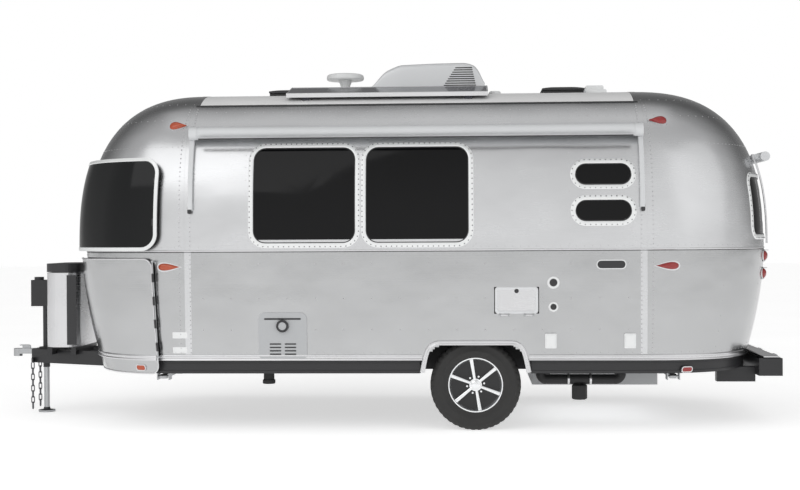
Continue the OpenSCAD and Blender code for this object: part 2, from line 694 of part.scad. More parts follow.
// Pins and lugs that stay on the body and carry what opens
module hinge_pins() {
    color(grey) {
        for (side = [-1, 1]) translate([gas_hinge_x, side * gas_hinge_y, gas_hinge_z])
            rotate([0, 0, 90]) hinge_rod(60);
        for (side = [-1, 1]) guard_hinge(side) {
            hinge_rod(2 * guard_hinge_half);
        }
        for (side = [-1, 1], s = [-1, 1]) let (y = guard_hinge_y + s * (guard_hinge_half + 7.5),
            zs = [guard_hinge_z - hinge_barrel, guard_hinge_z + hinge_barrel])
            on_side(side) along_y(y - 7, y + 7) polygon([[guard_hinge_x, zs[0]],
                for (z = zs) [front_seam - skin_x(y - 7, z, front_reach, front_power) - guard_foot_gap, z],
                [guard_hinge_x, zs[1]]]);
        for (side = [-1, 1]) on_side(side) {
            along_rod() cylinder(r = rod_radius, h = rod_length);
            for (z = rod_feet) let (p = rod_point(z))
                block(p[0] - 8, p[0] + 8, skin_y(p[0] + 8, z) + seat, p[1] + 8, z - 7, z + 7);
        }
        on_side(-1) for (x = hatch_hinge_xs) translate([x, hatch_hinge_y, hatch_hinge_z]) hinge_rod(50);
        for (z = door_hinge_zs) {
            translate([door_hinge_x, door_hinge_y, z - door_hinge_half - 14])
                cylinder(r = hinge_pin, h = 2 * door_hinge_half + 28);
            for (low = [z - door_hinge_half - 15, z + door_hinge_half + 1])
                wall_pad(door_hinge_x - 34, door_hinge_x + 1, low, low + 14, door_hinge_y + 4);
        }
        for (x = vent_places, side = [-1, 1]) {
            hx = x + vent_size / 2 + hinge_stand;
            translate([hx, side * vent_hinge_y, vent_hinge_z]) rotate([0, 0, 90]) hinge_rod(40);
            for (s = [-1, 1]) translate([x + vent_size / 2 - 5.5, side * vent_hinge_y + s * 27.5 - 7,
                vent_hinge_z - hinge_barrel]) cube([12, 14, 2 * hinge_barrel]);
        }
        for (y = bumper_hinge_ys) translate([bumper_hinge_x, y, bumper_hinge_z]) rotate([0, 0, 90])
            hinge_rod(80);
    }
}
// Half width of the skin of the front end, at one distance along X and height
function skin_y(x, z) = body_half(z)
    * swell((front_seam - x) / end_reach(z, front_reach, front_power), plan_power);

// Awnings: a roller on two arms, stowed against the wall
roller_radius = 47;
module side_awning(roller_z) {
    foot_z = roller_z - 568;
    roller_y = body_half(roller_z) + 84;
    x0 = front_seam + 13;
    x1 = rear_seam;
    color(pale) union() {
        translate([x0 + 60, roller_y, roller_z]) rotate([0, 90, 0]) cylinder(r = roller_radius, h = x1 - x0 - 120);
        for (x = [x0, x1 - 62]) {
            translate([x, roller_y, roller_z]) rotate([0, 90, 0]) cylinder(r = roller_radius + 4, h = 62);
        }
        for (x = [x0, x1 - 34]) {
            wall_strip(x, x + 34, foot_z - 20, roller_z - 20, 6, 40, 16);
            wall_pad(x, x + 34, foot_z - 30, foot_z + 30, half_width + 16);
        }
    }
}
module awning_left() { on_side(-1) side_awning(2291); }
module awning_right() { side_awning(2361); }
rear_roller_z = 2113;
rear_roller_half = 560;
rear_foot_y = 480;
// How far the flat facets of an end lie inside its true curve
facet_sag = 0.85;
module awning_rear() {
    roller_x = rear_seam + skin_x(0, rear_roller_z - 38, rear_reach, rear_power) + 44;
    color(pale) union() {
        translate([roller_x, -rear_roller_half, rear_roller_z]) rotate([-90, 0, 0])
            cylinder(r = 38, h = 2 * rear_roller_half);
        for (side = [-1, 1]) let (foot = rear_seam
            + skin_x(rear_foot_y - 20, rear_roller_z - 20, rear_reach, rear_power) - facet_sag)
            block(foot, roller_x, side * rear_foot_y - 20, side * rear_foot_y + 20,
                rear_roller_z - 20, rear_roller_z + 20);
    }
}

// Roof
cooler_x0 = front_seam + 1355;
cooler_half = 340;
base_z = roof_height + seat;
module air_conditioner() {
    h = cooler_height;
    l = cooler_length;
    color(pale) union() {
        block(cooler_x0 + 40, cooler_x0 + l - 60, -cooler_half + 30, cooler_half - 30, base_z, base_z + 35);
        translate([cooler_x0, 0, base_z]) along_y(-cooler_half, cooler_half)
            polygon([[0, 28], [24, 60], [110, h * 0.72], [238, h - 13], [520, h - 3], [792, h],
                [870, h - 40], [l - 14, 90], [l, 28]]);
    }
}
front_vent_x = front_seam + 659;
rear_vent_x = rear_seam - 532;
vent_places = [front_vent_x, rear_vent_x];
vent_base = 30;
vent_lid_low = base_z + vent_base + 5.5;
vent_hinge_z = base_z + vent_base - hinge_barrel - edge;
vent_hinge_y = 90;
vent_rim = 6;
module roof_vents() {
    s = vent_size / 2 - vent_rim;
    color(dark) for (x = vent_places) difference() {
        block(x - s, x + s, -s, s, base_z, base_z + vent_base);
        block(x - s + 40, x + s - 40, -s + 40, s - 40, base_z - edge, base_z + vent_base + edge);
    }
}
dome_height = 38;
dome_steps = 14;
// Section of a lid: a straight rim and a shallow arch
function dome_outline(middle, s) = concat([[middle + s, vent_lid_low], [middle - s, vent_lid_low]],
    [for (t = ramp(-1, 1, dome_steps)) [middle + s * t, vent_lid_low + 14 + (dome_height - 14) * (1 - t * t)]]);
module vent_lid(x) {
    s = vent_size / 2;
    hx = x + s + hinge_stand;
    color(dark) difference() {
        union() {
            intersection() {
                along_x(x - s, x + s) polygon(dome_outline(0, s));
                along_y(-s, s) polygon(dome_outline(x, s));
            }
            for (side = [-1, 1]) {
                translate([hx, side * vent_hinge_y, vent_hinge_z]) rotate([0, 0, 90]) hinge_leaf(40);
                block(hx - 7.7, hx - 4.9, side * vent_hinge_y - 20, side * vent_hinge_y + 20,
                    vent_hinge_z, vent_lid_low + 9);
                block(x + s - 4, hx - 4.9, side * vent_hinge_y - 20, side * vent_hinge_y + 20,
                    vent_lid_low + edge, vent_lid_low + 9);
            }
        }
        block(x - s + 6, x + s - 6, -s + 6, s - 6, vent_lid_low - edge, vent_lid_low + 8);
        for (side = [-1, 1]) translate([hx, side * vent_hinge_y, vent_hinge_z]) rotate([0, 0, 90]) hinge_hole(40);
    }
}
module vent_lid_front() { vent_lid(front_vent_x); }
module vent_lid_rear() { vent_lid(rear_vent_x); }
module roof_fittings() {
    antenna_x = front_seam + 1113;
    color(pale) {
        translate([antenna_x, 0, base_z]) {
            cylinder(r1 = 70, r2 = 34, h = 60);
            translate([0, 0, 59]) cylinder(r1 = 34, r2 = 60, h = 92);
            translate([0, 0, 150]) cylinder(r = 158, h = 52);
        }
        block(rear_vent_x + vent_size / 2 + 40, rear_vent_x + vent_size / 2 + 220, -110, 110, base_z, base_z + 80);
        translate([rear_seam - 1093, 200, roof_z(148) + seat]) cylinder(r = 52, h = 75);
    }
}
panel_x0 = front_seam + 712;
panel_length = 1595;
panel_y0 = 400;
panel_y1 = 740;
module solar_panels() {
    tilt = atan2(roof_z(panel_y1) - roof_z(panel_y0), panel_y1 - panel_y0);
    color(tinted) for (side = [-1, 1]) on_side(side) union() {
        translate([panel_x0, panel_y0, roof_z(panel_y0) + 34]) rotate([tilt, 0, 0])
            cube([panel_length, norm([panel_y1 - panel_y0, roof_z(panel_y1) - roof_z(panel_y0)]), 30]);
        for (x = [panel_x0 + 120, panel_x0 + panel_length - 180], y = [panel_y0 + 20, panel_y1 - 60])
            along_x(x, x + 60) polygon([[y, roof_z(y) + 0.5], [y + 40, roof_z(y + 40) + 0.5],
                [y + 40, roof_z(y + 40) + 44], [y, roof_z(y) + 44]]);
    }
}

// Fittings on the walls
heater_x0 = front_seam + 545;
module heater_panel() {
    color(grey) on_side(-1) union() {
        wall_patch(heater_x0, heater_x0 + 373, 537 + 10, 912, 50, seat, 8);
        translate([heater_x0 + 187, body_half(810) + 5, 810]) rotate([-90, 0, 0]) cylinder(r = 46, h = 23);
    }
}
hatch_leaf = 22;
hatch_hinge_z = hatch_z0 - 10;
hatch_hinge_y = body_half(hatch_z0) + hinge_stand;
hatch_hinge_xs = [hatch_x0 + 70, hatch_x1 - 70];
module baggage_hatch() {
    color(polished) on_side(-1) difference() {
        union() {
            wall_patch(hatch_x0, hatch_x1, hatch_z0, hatch_z1, 26, -hatch_leaf, 2);
            for (x = hatch_hinge_xs) translate([x, hatch_hinge_y, hatch_hinge_z]) {
                hinge_leaf(50);
                translate([-25, -7.7, 0]) cube([50, 2.8, 42]);
            }
        }
        for (x = hatch_hinge_xs) translate([x, hatch_hinge_y, hatch_hinge_z]) hinge_hole(50);
    }
}
module round_fitting(x, z, r, face) {
    intersection() {
        wall_pad(x - r - edge, x + r + edge, z - r - edge, z + r + edge, face);
        translate([x, half_width / 2, z]) rotate([-90, 0, 0]) cylinder(r = r, h = half_width);
    }
}
module side_fittings() {
    color(pale) {
        on_side(-1) {
            round_fitting(axle_x + 590, 1135, 47, half_width + 14);
            round_fitting(axle_x + 589, 951, 37, half_width + 6);
            wall_pad(axle_x + 569 - 44, axle_x + 569 + 44, 636, 752, half_width - 12);
            wall_pad(rear_seam - 110 - 44, rear_seam - 110 + 44, 634, 748, half_width - 12);
            wall_patch(rear_seam - 357, rear_seam - 141, 1238, 1302, 31, seat, 5);
        }
        wall_pad(door_x1 + 70, door_x1 + 96, 1180, 1240, half_width + 38);
        wall_pad(door_x1 + 70, door_x1 + 96, 1560, 1620, half_width + 38);
        block(door_x1 + 70, door_x1 + 96, half_width + 20, half_width + 38, 1180, 1620);
    }
}
module lamp_patch(reach, power, x, z, length, height, out) {
    zz = share(z);
    function angle(dx) = asin(pow(min(1, dx / end_reach(z, reach, power)), plan_power / 2));
    rows = z >= belt_height ? ramp(share(z - height / 2), share(z + height / 2), 2)
        : ramp(z - height / 2 - belt_height, z + height / 2 - belt_height, 2);
    end_shell(rows, ramp(angle(x), angle(x + length), 3), reach, power, -out, -seat);
}
module marker_lamps() {
    color(amber) for (side = [-1, 1]) on_side(side) at_front() {
        lamp_patch(front_reach, front_power, 40, 2350, 136, 52, 24);
        lamp_patch(front_reach, front_power, 60, 1262, 136, 52, 24);
    }
}
module tail_lamps() {
    color(red) for (side = [-1, 1]) on_side(side) at_rear() {
        lamp_patch(rear_reach, rear_power, 60, 2362, 145, 52, 24);
        lamp_patch(rear_reach, rear_power, 96, 1262, 145, 52, 24);
        lamp_patch(rear_reach, rear_power, 1000, 1322, 60, 96, 30);
        lamp_patch(rear_reach, rear_power, 960, 1181, 60, 96, 30);
    }
}

// Rear bumper with a locker
bumper_half = 790;
bumper_x0 = rear_seam + rear_reach - 148;
bumper_low = 385;
bumper_high = 522;
module rear_bumper() {
    color(dark) union() {
        difference() {
            block(bumper_x0, rear_face, -bumper_half, bumper_half, bumper_low, bumper_high);
            block(bumper_x0 + 8, rear_face - 16, -bumper_half + 8, bumper_half - 8, bumper_low + 8, bumper_high - 8);
            block(bumper_x0 + 40, rear_face - 16, -bumper_half + 8, bumper_half - 8, bumper_low + 8, bumper_high + edge);
        }
        for (side = [-1, 1]) block(bumper_x0 - 300, bumper_x0 + 2, side * 600 - 40, side * 600 + 40,
            325, underside_height - seat);
    }
}
bumper_hinge_x = rear_face - hinge_stand;
bumper_hinge_z = bumper_high + hinge_stand;
bumper_hinge_ys = [-560, 0, 560];
module bumper_lid() {
    top = bumper_high + 15;
    color(polished) difference() {
        union() {
            block(bumper_x0 + 36, bumper_hinge_x - 14, -bumper_half, bumper_half, top - 7, top);
            for (y = bumper_hinge_ys) {
                translate([bumper_hinge_x, y, bumper_hinge_z]) rotate([0, 0, 90]) hinge_leaf(80);
                block(bumper_hinge_x - 24, bumper_hinge_x, y - 40, y + 40, bumper_hinge_z + 4.7, bumper_hinge_z + 7.7);
            }
        }
        for (y = bumper_hinge_ys) translate([bumper_hinge_x, y, bumper_hinge_z]) rotate([0, 0, 90]) hinge_hole(80);
    }
}

// Underneath
module waste_tank() {
    color(grey) block(axle_x + 395 + 60, rear_seam + 180, -560, 560, 292, underside_height - seat);
}
module waste_pipes() {
    color(dark) {
        on_side(-1) {
            translate([axle_x + 508, 900, 372]) rotate([0, 90, 0]) cylinder(r = 38, h = 620);
            block(axle_x + 740, axle_x + 874, 840, 960, 215, 350);
            for (x = [axle_x + 540, axle_x + 1080]) block(x, x + 40, 880, 920, 400, underside_height - seat);
            translate([front_seam + 576, 880, 335]) cylinder(r = 50, h = underside_height - 335 - seat);
        }
    }
}
stab_y = 930;
stab_z = 398;
stab_length = 400;
stab_front_x = front_seam - 250;
stab_rear_x = rear_seam + 250;
module stab_mount(x) {
    for (dx = [-50, 42]) block(x + dx, x + dx + 8, stab_y - 60, stab_y + 30, stab_z - 26, underside_height - seat);
    translate([x - 50, stab_y, stab_z]) rotate([0, 90, 0]) cylinder(r = 8, h = 100);
}
module stabiliser_mounts() {
    color(grey) for (side = [-1, 1], x = [stab_front_x, stab_rear_x]) on_side(side) stab_mount(x);
}
module stabiliser(x) {
    color(grey) difference() {
        union() {
            block(x - 25, x + 25, stab_y - stab_length, stab_y, stab_z - 14, stab_z + 14);
            translate([x - 25, stab_y, stab_z]) rotate([0, 90, 0]) cylinder(r = 18, h = 50);
            block(x - 60, x + 60, stab_y - stab_length - 90, stab_y - stab_length + 10, stab_z - 20, stab_z - 12);
        }
        translate([x - 26, stab_y, stab_z]) rotate([0, 90, 0]) cylinder(r = 8.5, h = 52);
    }
}
module stabiliser_front_left() { on_side(-1) stabiliser(stab_front_x); }
module stabiliser_front_right() { stabiliser(stab_front_x); }
module stabiliser_rear_left() { on_side(-1) stabiliser(stab_rear_x); }
module stabiliser_rear_right() { stabiliser(stab_rear_x); }

// Entry door
door_window = [door_setback + 120, door_width - 260, 1500, 2020, 70];
door_hinge_x = door_x0 - door_gap / 2;
door_hinge_y = half_width + hinge_stand;
door_hinge_zs = [790, 1390, 1990];
door_hinge_half = 30;
module door_layer(low, high, narrow) {
    intersection() {
        wall_strip(door_x0 - edge, door_x1 + edge, door_z0 - edge, door_top + edge, low, high, section_steps);
        door_prism(0, narrow);
    }
}
module entry_door() {
    h = door_hinge_half;
    color(polished) difference() {
        union() {
            difference() {
                union() {
                    door_layer(0, -door_skin, 0);
                    door_layer(-door_skin + edge, -wall_thickness, door_rebate);
                }
                window_prism(door_window, 0);
            }
            for (z = door_hinge_zs) {
                translate([door_hinge_x, door_hinge_y, z - h]) cylinder(r = hinge_barrel, h = 2 * h);
                wall_pad(door_hinge_x, door_x0 + 34, z - h, z + h, door_hinge_y - 5, -4);
            }
            wall_pad(door_x1 - 60, door_x1 - 30, 1180, 1330, half_width + 12, -4);
        }
        for (z = door_hinge_zs) translate([door_hinge_x, door_hinge_y, z - h - edge])
            cylinder(r = hinge_bore, h = 2 * h + 2 * edge);
    }
}
module door_window() {
    color(tinted) wall_window_glass(door_window);
}
step_width = 460;
step_x0 = door_x0 + 80;
step_y0 = half_width - 360;
step_y1 = half_width - 100;
step_z = 372;
module entry_step() {
    color(dark) block(step_x0, step_x0 + step_width, step_y0, step_y1, step_z, step_z + 30);
}

floor_pan();
tongue_frame();
coupler();
jack_tube();
jack_leg();
safety_chains();
gas_bottles();
gas_cover();
gas_cover_lid();
axle();
tyre_left();
rim_left();
tyre_right();
rim_right();
wheel_wells();
side_wall_left();
side_wall_right();
roof_panel();
front_end_upper();
front_end_lower();
rear_end_upper();
rear_end_lower();
window_glass();
window_frames();
window_guard();
stone_guard_left();
stone_guard_right();
awning_left();
awning_right();
awning_rear();
air_conditioner();
roof_vents();
vent_lid_front();
vent_lid_rear();
roof_fittings();
solar_panels();
heater_panel();
baggage_hatch();
side_fittings();
marker_lamps();
tail_lamps();
rear_bumper();
bumper_lid();
waste_tank();
waste_pipes();
stabiliser_mounts();
stabiliser_front_left();
stabiliser_front_right();
stabiliser_rear_left();
stabiliser_rear_right();
entry_door();
door_window();
entry_step();
hinge_pins();
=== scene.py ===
# %% [markdown]
# # A riveted aluminium travel caravan
# This lesson dresses a caravan whose joints and sizes already exist as plain engineering solids.
# We load those solids, measure them, and grow smooth skins, rivets, windows, wheels and finishes
# on top. Lengths are metres. X runs from the hitch to the rear bumper, Y towards the entry
# door, Z up.

# %% Load the frame
import math
import bmesh
import bpy
import numpy as np
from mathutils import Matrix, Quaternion, Vector


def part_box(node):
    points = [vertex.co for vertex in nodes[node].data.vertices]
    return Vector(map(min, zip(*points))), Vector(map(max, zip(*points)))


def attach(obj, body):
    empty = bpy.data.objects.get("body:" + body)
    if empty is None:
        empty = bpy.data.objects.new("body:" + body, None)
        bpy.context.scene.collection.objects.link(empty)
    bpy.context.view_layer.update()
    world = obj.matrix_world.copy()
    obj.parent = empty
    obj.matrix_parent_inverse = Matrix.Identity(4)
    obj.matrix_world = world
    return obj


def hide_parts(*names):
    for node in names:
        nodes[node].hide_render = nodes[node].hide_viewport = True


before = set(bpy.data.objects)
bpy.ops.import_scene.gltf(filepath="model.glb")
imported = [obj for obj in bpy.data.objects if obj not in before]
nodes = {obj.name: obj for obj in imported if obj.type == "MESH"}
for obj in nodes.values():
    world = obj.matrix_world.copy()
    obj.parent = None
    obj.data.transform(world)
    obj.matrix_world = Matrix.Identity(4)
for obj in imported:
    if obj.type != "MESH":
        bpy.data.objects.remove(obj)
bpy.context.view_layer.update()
print("solids in the frame:", len(nodes))

# %% [markdown]
# ## The body as two formulas
# A coach of this kind is pressed over oval ribs. Seen from the front its section is a
# superellipse above the belt line and tucks in gently below it. Seen from above each end is
# a superellipse too. Measuring the solids gives every size the formulas need.

# %% Body formulas
wall_lo, wall_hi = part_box("side_wall_left")
FRONT, REAR, SILL = wall_lo.x, wall_hi.x, wall_lo.z
RIDGE, BELT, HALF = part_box("roof_panel")[1].z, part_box("front_end_lower")[1].z, -wall_lo.y
EDGE = wall_hi.z
REACH = {-1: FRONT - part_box("front_end_upper")[0].x, 1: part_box("rear_end_upper")[1].x - REAR}
SEAM, POWER = {-1: FRONT, 1: REAR}, {-1: 2.55, 1: 2.6}
THICK, SECTION, PLAN = 0.045, 3.1, 2.5

def swell(t, power):
    """(1 - t^p)^(1/p), the superellipse's other coordinate."""
    return np.clip(1 - np.abs(t) ** power, 0, None) ** (1 / power)

def tuck(z, amount):
    """amount ((belt - z) / (belt - sill))^1.8 below the belt line."""
    return amount * (np.clip(BELT - z, 0, None) / (BELT - SILL)) ** 1.8

def half(z, out=0.0):
    """Half width: (W + out) swell((z - belt) / (ridge + out - belt)), less the tuck."""
    return (HALF + out) * swell(np.clip(z - BELT, 0, None) / (RIDGE + out - BELT), SECTION) - tuck(z, 0.035)

def reach(z, end, out=0.0):
    """How far an end runs past its seam at height z."""
    return (REACH[end] + out) * swell(np.clip(z - BELT, 0, None) / (RIDGE + out - BELT),
        POWER[end]) - tuck(z, 0.147)

def height(row, out=0.0):
    """row <= 0 is metres below the belt; row in 0..1 is a share of the way to the ridge."""
    return BELT + np.where(row <= 0, row, row * (RIDGE + out - BELT))

def wall(x, row, side, out=0.0):
    """P(x, row) = (x, side half(z), z)."""
    z = height(row, out)
    x, y, z = np.broadcast_arrays(x, side * half(z, out), z)
    return np.stack([x, y, z], -1)

def cap(a, row, end, out=0.0):
    """P(a, row) = (seam + end reach sin(a)^(2/p), half cos(a)^(2/p), z); a = 0 is the door side."""
    z = height(row, out)
    c, s = np.cos(a), np.sin(a)
    x = SEAM[end] + end * reach(z, end, out) * np.abs(s) ** (2 / PLAN)
    y = half(z, out) * np.sign(c) * np.abs(c) ** (2 / PLAN)
    x, y, z = np.broadcast_arrays(x, y, z)
    return np.stack([x, y, z], -1)

def cap_angle(y, z):
    """The plan angle at which an end's skin lies at |y|: cos(a) = (|y| / half)^(p/2)."""
    return np.arccos(np.clip((np.abs(y) / half(z)) ** (PLAN / 2), 0, 1))

def seam_angle(dx, z, end):
    """The plan angle at a distance dx past the seam: sin(a) = (dx / reach)^(p/2)."""
    return np.arcsin(np.clip((dx / reach(z, end)) ** (PLAN / 2), 0, 1))

def share(z):
    """The row for a height."""
    return np.where(z <= BELT, z - BELT, (z - BELT) / (RIDGE - BELT))

print(f"seams {FRONT:.3f} {REAR:.3f}, belt {BELT:.3f}, ridge {RIDGE:.3f}")

# %% [markdown]
# ## Three ways to make a surface
# Nearly everything here is one of three shapes: a grid of points with thickness (a panel), a
# profile carried along a path (a trim, a frame, a pipe), or a small bump stamped at many
# places (rivets). Each is written once with arrays.

# %% Mesh builders
def grid_faces(rows, cols, wrap_rows=False, wrap_cols=False, base=0):
    """Quads (i, j), (i, j+1), (i+1, j+1), (i+1, j) of a grid of points."""
    i = np.arange(rows if wrap_rows else rows - 1)[:, None]
    j = np.arange(cols if wrap_cols else cols - 1)[None, :]
    i2, j2 = (i + 1) % rows, (j + 1) % cols
    q = [i * cols + j, i * cols + j2, i2 * cols + j2, i2 * cols + j]
    return np.stack([np.broadcast_to(v, (i.size, j.size)) for v in q], -1).reshape(-1, 4) + base

def add_piece(name, verts, quads, material, body="root", stands_for=(), slot=None, sharp=32):
    """One mesh object from points and quads; a quad with a doubled corner becomes a triangle."""
    verts, quads = np.asarray(verts, float).reshape(-1, 3), np.asarray(quads, int)
    faces = [list(dict.fromkeys(q)) for q in quads.tolist()]
    mesh = bpy.data.meshes.new(name)
    mesh.from_pydata(verts.tolist(), [], [f for f in faces if len(f) > 2])
    mesh.validate()
    turned = bmesh.new()
    turned.from_mesh(mesh)
    bmesh.ops.recalc_face_normals(turned, faces=turned.faces)
    turned.to_mesh(mesh)
    turned.free()
    mesh.shade_smooth()
    mesh.set_sharp_from_angle(angle=math.radians(sharp))
    mesh.materials.append(material)
    obj = bpy.data.objects.new(name, mesh)
    bpy.context.scene.collection.objects.link(obj)
    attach(obj, body)
    if stands_for:
        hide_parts(*stands_for)
    return obj

def join(parts):
    """Stacks (points, quads) pairs into one pair."""
    verts, quads, base = [], [], 0
    for v, q in parts:
        v = np.asarray(v, float).reshape(-1, 3)
        verts.append(v)
        quads.append(np.asarray(q, int) + base)
        base += len(v)
    return np.concatenate(verts), np.concatenate(quads)

def panel(outer, inner, keep=None):
    """A closed sheet between two grids. Cells where keep is False are left open, with walls."""
    rows, cols = outer.shape[:2]
    keep = np.ones((rows - 1, cols - 1), bool) if keep is None else keep
    n = rows * cols
    index = np.arange(n).reshape(rows, cols)
    a, b, c, d = index[:-1, :-1], index[:-1, 1:], index[1:, 1:], index[1:, :-1]
    k = np.pad(keep, 1)
    quads = [np.stack([a, b, c, d], -1)[keep], np.stack([a, d, c, b], -1)[keep] + n]
    walls = [(a, b, k[:-2, 1:-1]), (c, d, k[2:, 1:-1]), (d, a, k[1:-1, :-2]), (b, c, k[1:-1, 2:])]
    for p, q, beyond in walls:
        m = keep & ~beyond
        quads.append(np.stack([q[m], p[m], p[m] + n, q[m] + n], -1))
    return np.concatenate([outer.reshape(-1, 3), inner.reshape(-1, 3)]), np.concatenate(quads)

def unit(v):
    """v / |v| along the last axis."""
    return v / np.maximum(np.linalg.norm(v, axis=-1, keepdims=True), 1e-12)

def sweep(path, up, profile, closed=False):
    """P(s, t) = C(s) + a(t) (T x U)(s) + b(t) U(s), a closed profile carried along a path."""
    path, up = np.asarray(path, float), np.asarray(up, float)
    up = np.broadcast_to(up, path.shape)
    if closed:
        tangent = np.roll(path, -1, 0) - np.roll(path, 1, 0)
    else:
        tangent = np.gradient(path, axis=0)
    tangent = unit(tangent)
    across = unit(np.cross(tangent, up))
    up = np.cross(across, tangent)
    prof = np.asarray(profile, float)
    verts = path[:, None] + prof[None, :, :1] * across[:, None] + prof[None, :, 1:] * up[:, None]
    n, m = verts.shape[:2]
    quads = grid_faces(n, m, closed, True)
    verts = verts.reshape(-1, 3)
    if not closed:
        j = np.arange(m)
        j2 = (j + 1) % m
        cap0 = np.stack([j2, j, np.full(m, n * m), np.full(m, n * m)], -1)
        last = (n - 1) * m
        cap1 = np.stack([j + last, j2 + last, np.full(m, n * m + 1), np.full(m, n * m + 1)], -1)
        verts = np.concatenate([verts, verts[:m].mean(0)[None], verts[-m:].mean(0)[None]])
        quads = np.concatenate([quads, cap0, cap1])
    return verts, quads

def lathe(profile, centre, axis, turns=64, closed=False, dent=0.0):
    """P(a, t) = C + h(t) A + (r(t) - dent(a, t)) (cos a E + sin a F): (radius, height) turned round."""
    axis = unit(np.asarray(axis, float))
    e = unit(np.cross(axis, [0, 0, 1.0] if abs(axis[2]) < 0.9 else [1.0, 0, 0]))
    f = np.cross(axis, e)
    a = np.linspace(0, 2 * math.pi, turns, endpoint=False)
    ring = np.cos(a)[:, None] * e + np.sin(a)[:, None] * f
    prof = np.asarray(profile, float)
    radius = prof[None, :, 0] - np.broadcast_to(dent, (turns, len(prof)))
    verts = np.asarray(centre, float) + radius[..., None] * ring[:, None] + prof[None, :, 1:] * axis
    return verts.reshape(-1, 3), weld(verts, grid_faces(turns, len(prof), True, closed), prof)

def weld(verts, quads, prof):
    """Points of a lathe with no radius all become the first one, so poles close."""
    turns, m = verts.shape[:2]
    index = np.arange(turns * m).reshape(turns, m)
    index[:, np.asarray(prof)[:, 0] < 1e-6] = index[0, np.asarray(prof)[:, 0] < 1e-6]
    return index.reshape(-1)[quads]

def studs(points, normals, radius, tall, sides=8):
    """A low dome at each point: rings at radius r, 0.7 r and the crown, along the normal."""
    points = np.asarray(points, float).reshape(-1, 3)
    normals = unit(np.asarray(normals, float).reshape(-1, 3))
    helper = np.where(np.abs(normals[:, 2:]) < 0.9, [[0, 0, 1.0]], [[1.0, 0, 0]])
    e = unit(np.cross(normals, helper))
    f = np.cross(normals, e)
    a = np.arange(sides) * 2 * math.pi / sides
    ring = np.cos(a)[None, :, None] * e[:, None] + np.sin(a)[None, :, None] * f[:, None]
    base = points[:, None] + ring * radius - normals[:, None] * 0.0006
    mid = points[:, None] + ring * radius * 0.7 + normals[:, None] * tall * 0.75
    top = (points + normals * tall)[:, None]
    under = (points - normals * 0.0006)[:, None]
    verts = np.concatenate([base, mid, top, under], 1)
    j = np.arange(sides)
    j2 = (j + 1) % sides
    t, u = np.full(sides, 2 * sides), np.full(sides, 2 * sides + 1)
    one = np.concatenate([np.stack([j, j2, j2 + sides, j + sides], -1),
        np.stack([j + sides, j2 + sides, t, t], -1), np.stack([j2, j, u, u], -1)])
    quads = one[None] + (np.arange(len(points)) * (2 * sides + 2))[:, None, None]
    return verts.reshape(-1, 3), quads.reshape(-1, 4)

def box(lo, hi, bevel=0.004):
    """A brick with bevelled edges: three nested rectangles of corners joined by quads."""
    lo, hi = np.asarray(lo, float), np.asarray(hi, float)
    bevel = min(bevel, (hi - lo).min() * 0.4)
    corner = np.array([[-1, -1], [1, -1], [1, 1], [-1, 1]])
    mid, reach_ = (lo + hi) / 2, (hi - lo) / 2
    rings = []
    for z, inset in [(-1, 1), (-1, 0), (1, 0), (1, 1)]:
        r = reach_[:2] - bevel * inset
        h = reach_[2] - bevel * (1 - inset)
        rings.append(np.column_stack([corner * r, np.full(4, z * h)]) + mid)
    verts = np.concatenate(rings)
    quads = np.concatenate([grid_faces(4, 4, False, True), [[3, 2, 1, 0], [12, 13, 14, 15]]])
    return verts, quads

def tube(points, radius, sides=12):
    """A round rod or pipe along a path."""
    points = np.asarray(points, float)
    a = -np.arange(sides) * 2 * math.pi / sides
    along = unit(points[-1] - points[0])
    up = [0, 0, 1.0] if abs(along[2]) < 0.8 else [0, 1.0, 0]
    return sweep(points, up, np.column_stack([np.cos(a), np.sin(a)]) * radius)

def rounded(x0, x1, z0, z1, r, grow=0.0, n=8, per=14):
    """A rounded rectangle as a closed loop of points, counter-clockwise, with even sides."""
    x0, x1, z0, z1, r = x0 - grow, x1 + grow, z0 - grow, z1 + grow, r + grow
    loop = []
    for cx, cz, a0 in [(x1 - r, z1 - r, 0), (x0 + r, z1 - r, 90), (x0 + r, z0 + r, 180),
        (x1 - r, z0 + r, 270)]:
        a = np.radians(np.linspace(a0, a0 + 90, n))
        loop.append(np.column_stack([cx + r * np.cos(a), cz + r * np.sin(a)]))
    nxt = loop[1:] + loop[:1]
    full = []
    for here, there in zip(loop, nxt):
        t = np.linspace(0, 1, per)[1:-1, None]
        full += [here, here[-1] * (1 - t) + there[0] * t]
    return np.concatenate(full)

print("builders ready")

# %% [markdown]
# ## Shader sums that read like sums
# A finish varies over a surface by arithmetic on noise and position. `Field` wraps one shader
# socket so that `0.2 + 0.1 * noise` builds the nodes for us.

# %% Shader fields
def feed(tree, socket, value):
    """Links a field or sets a plain value."""
    if isinstance(value, Field):
        tree.links.new(value.socket, socket)
    else:
        socket.default_value = value

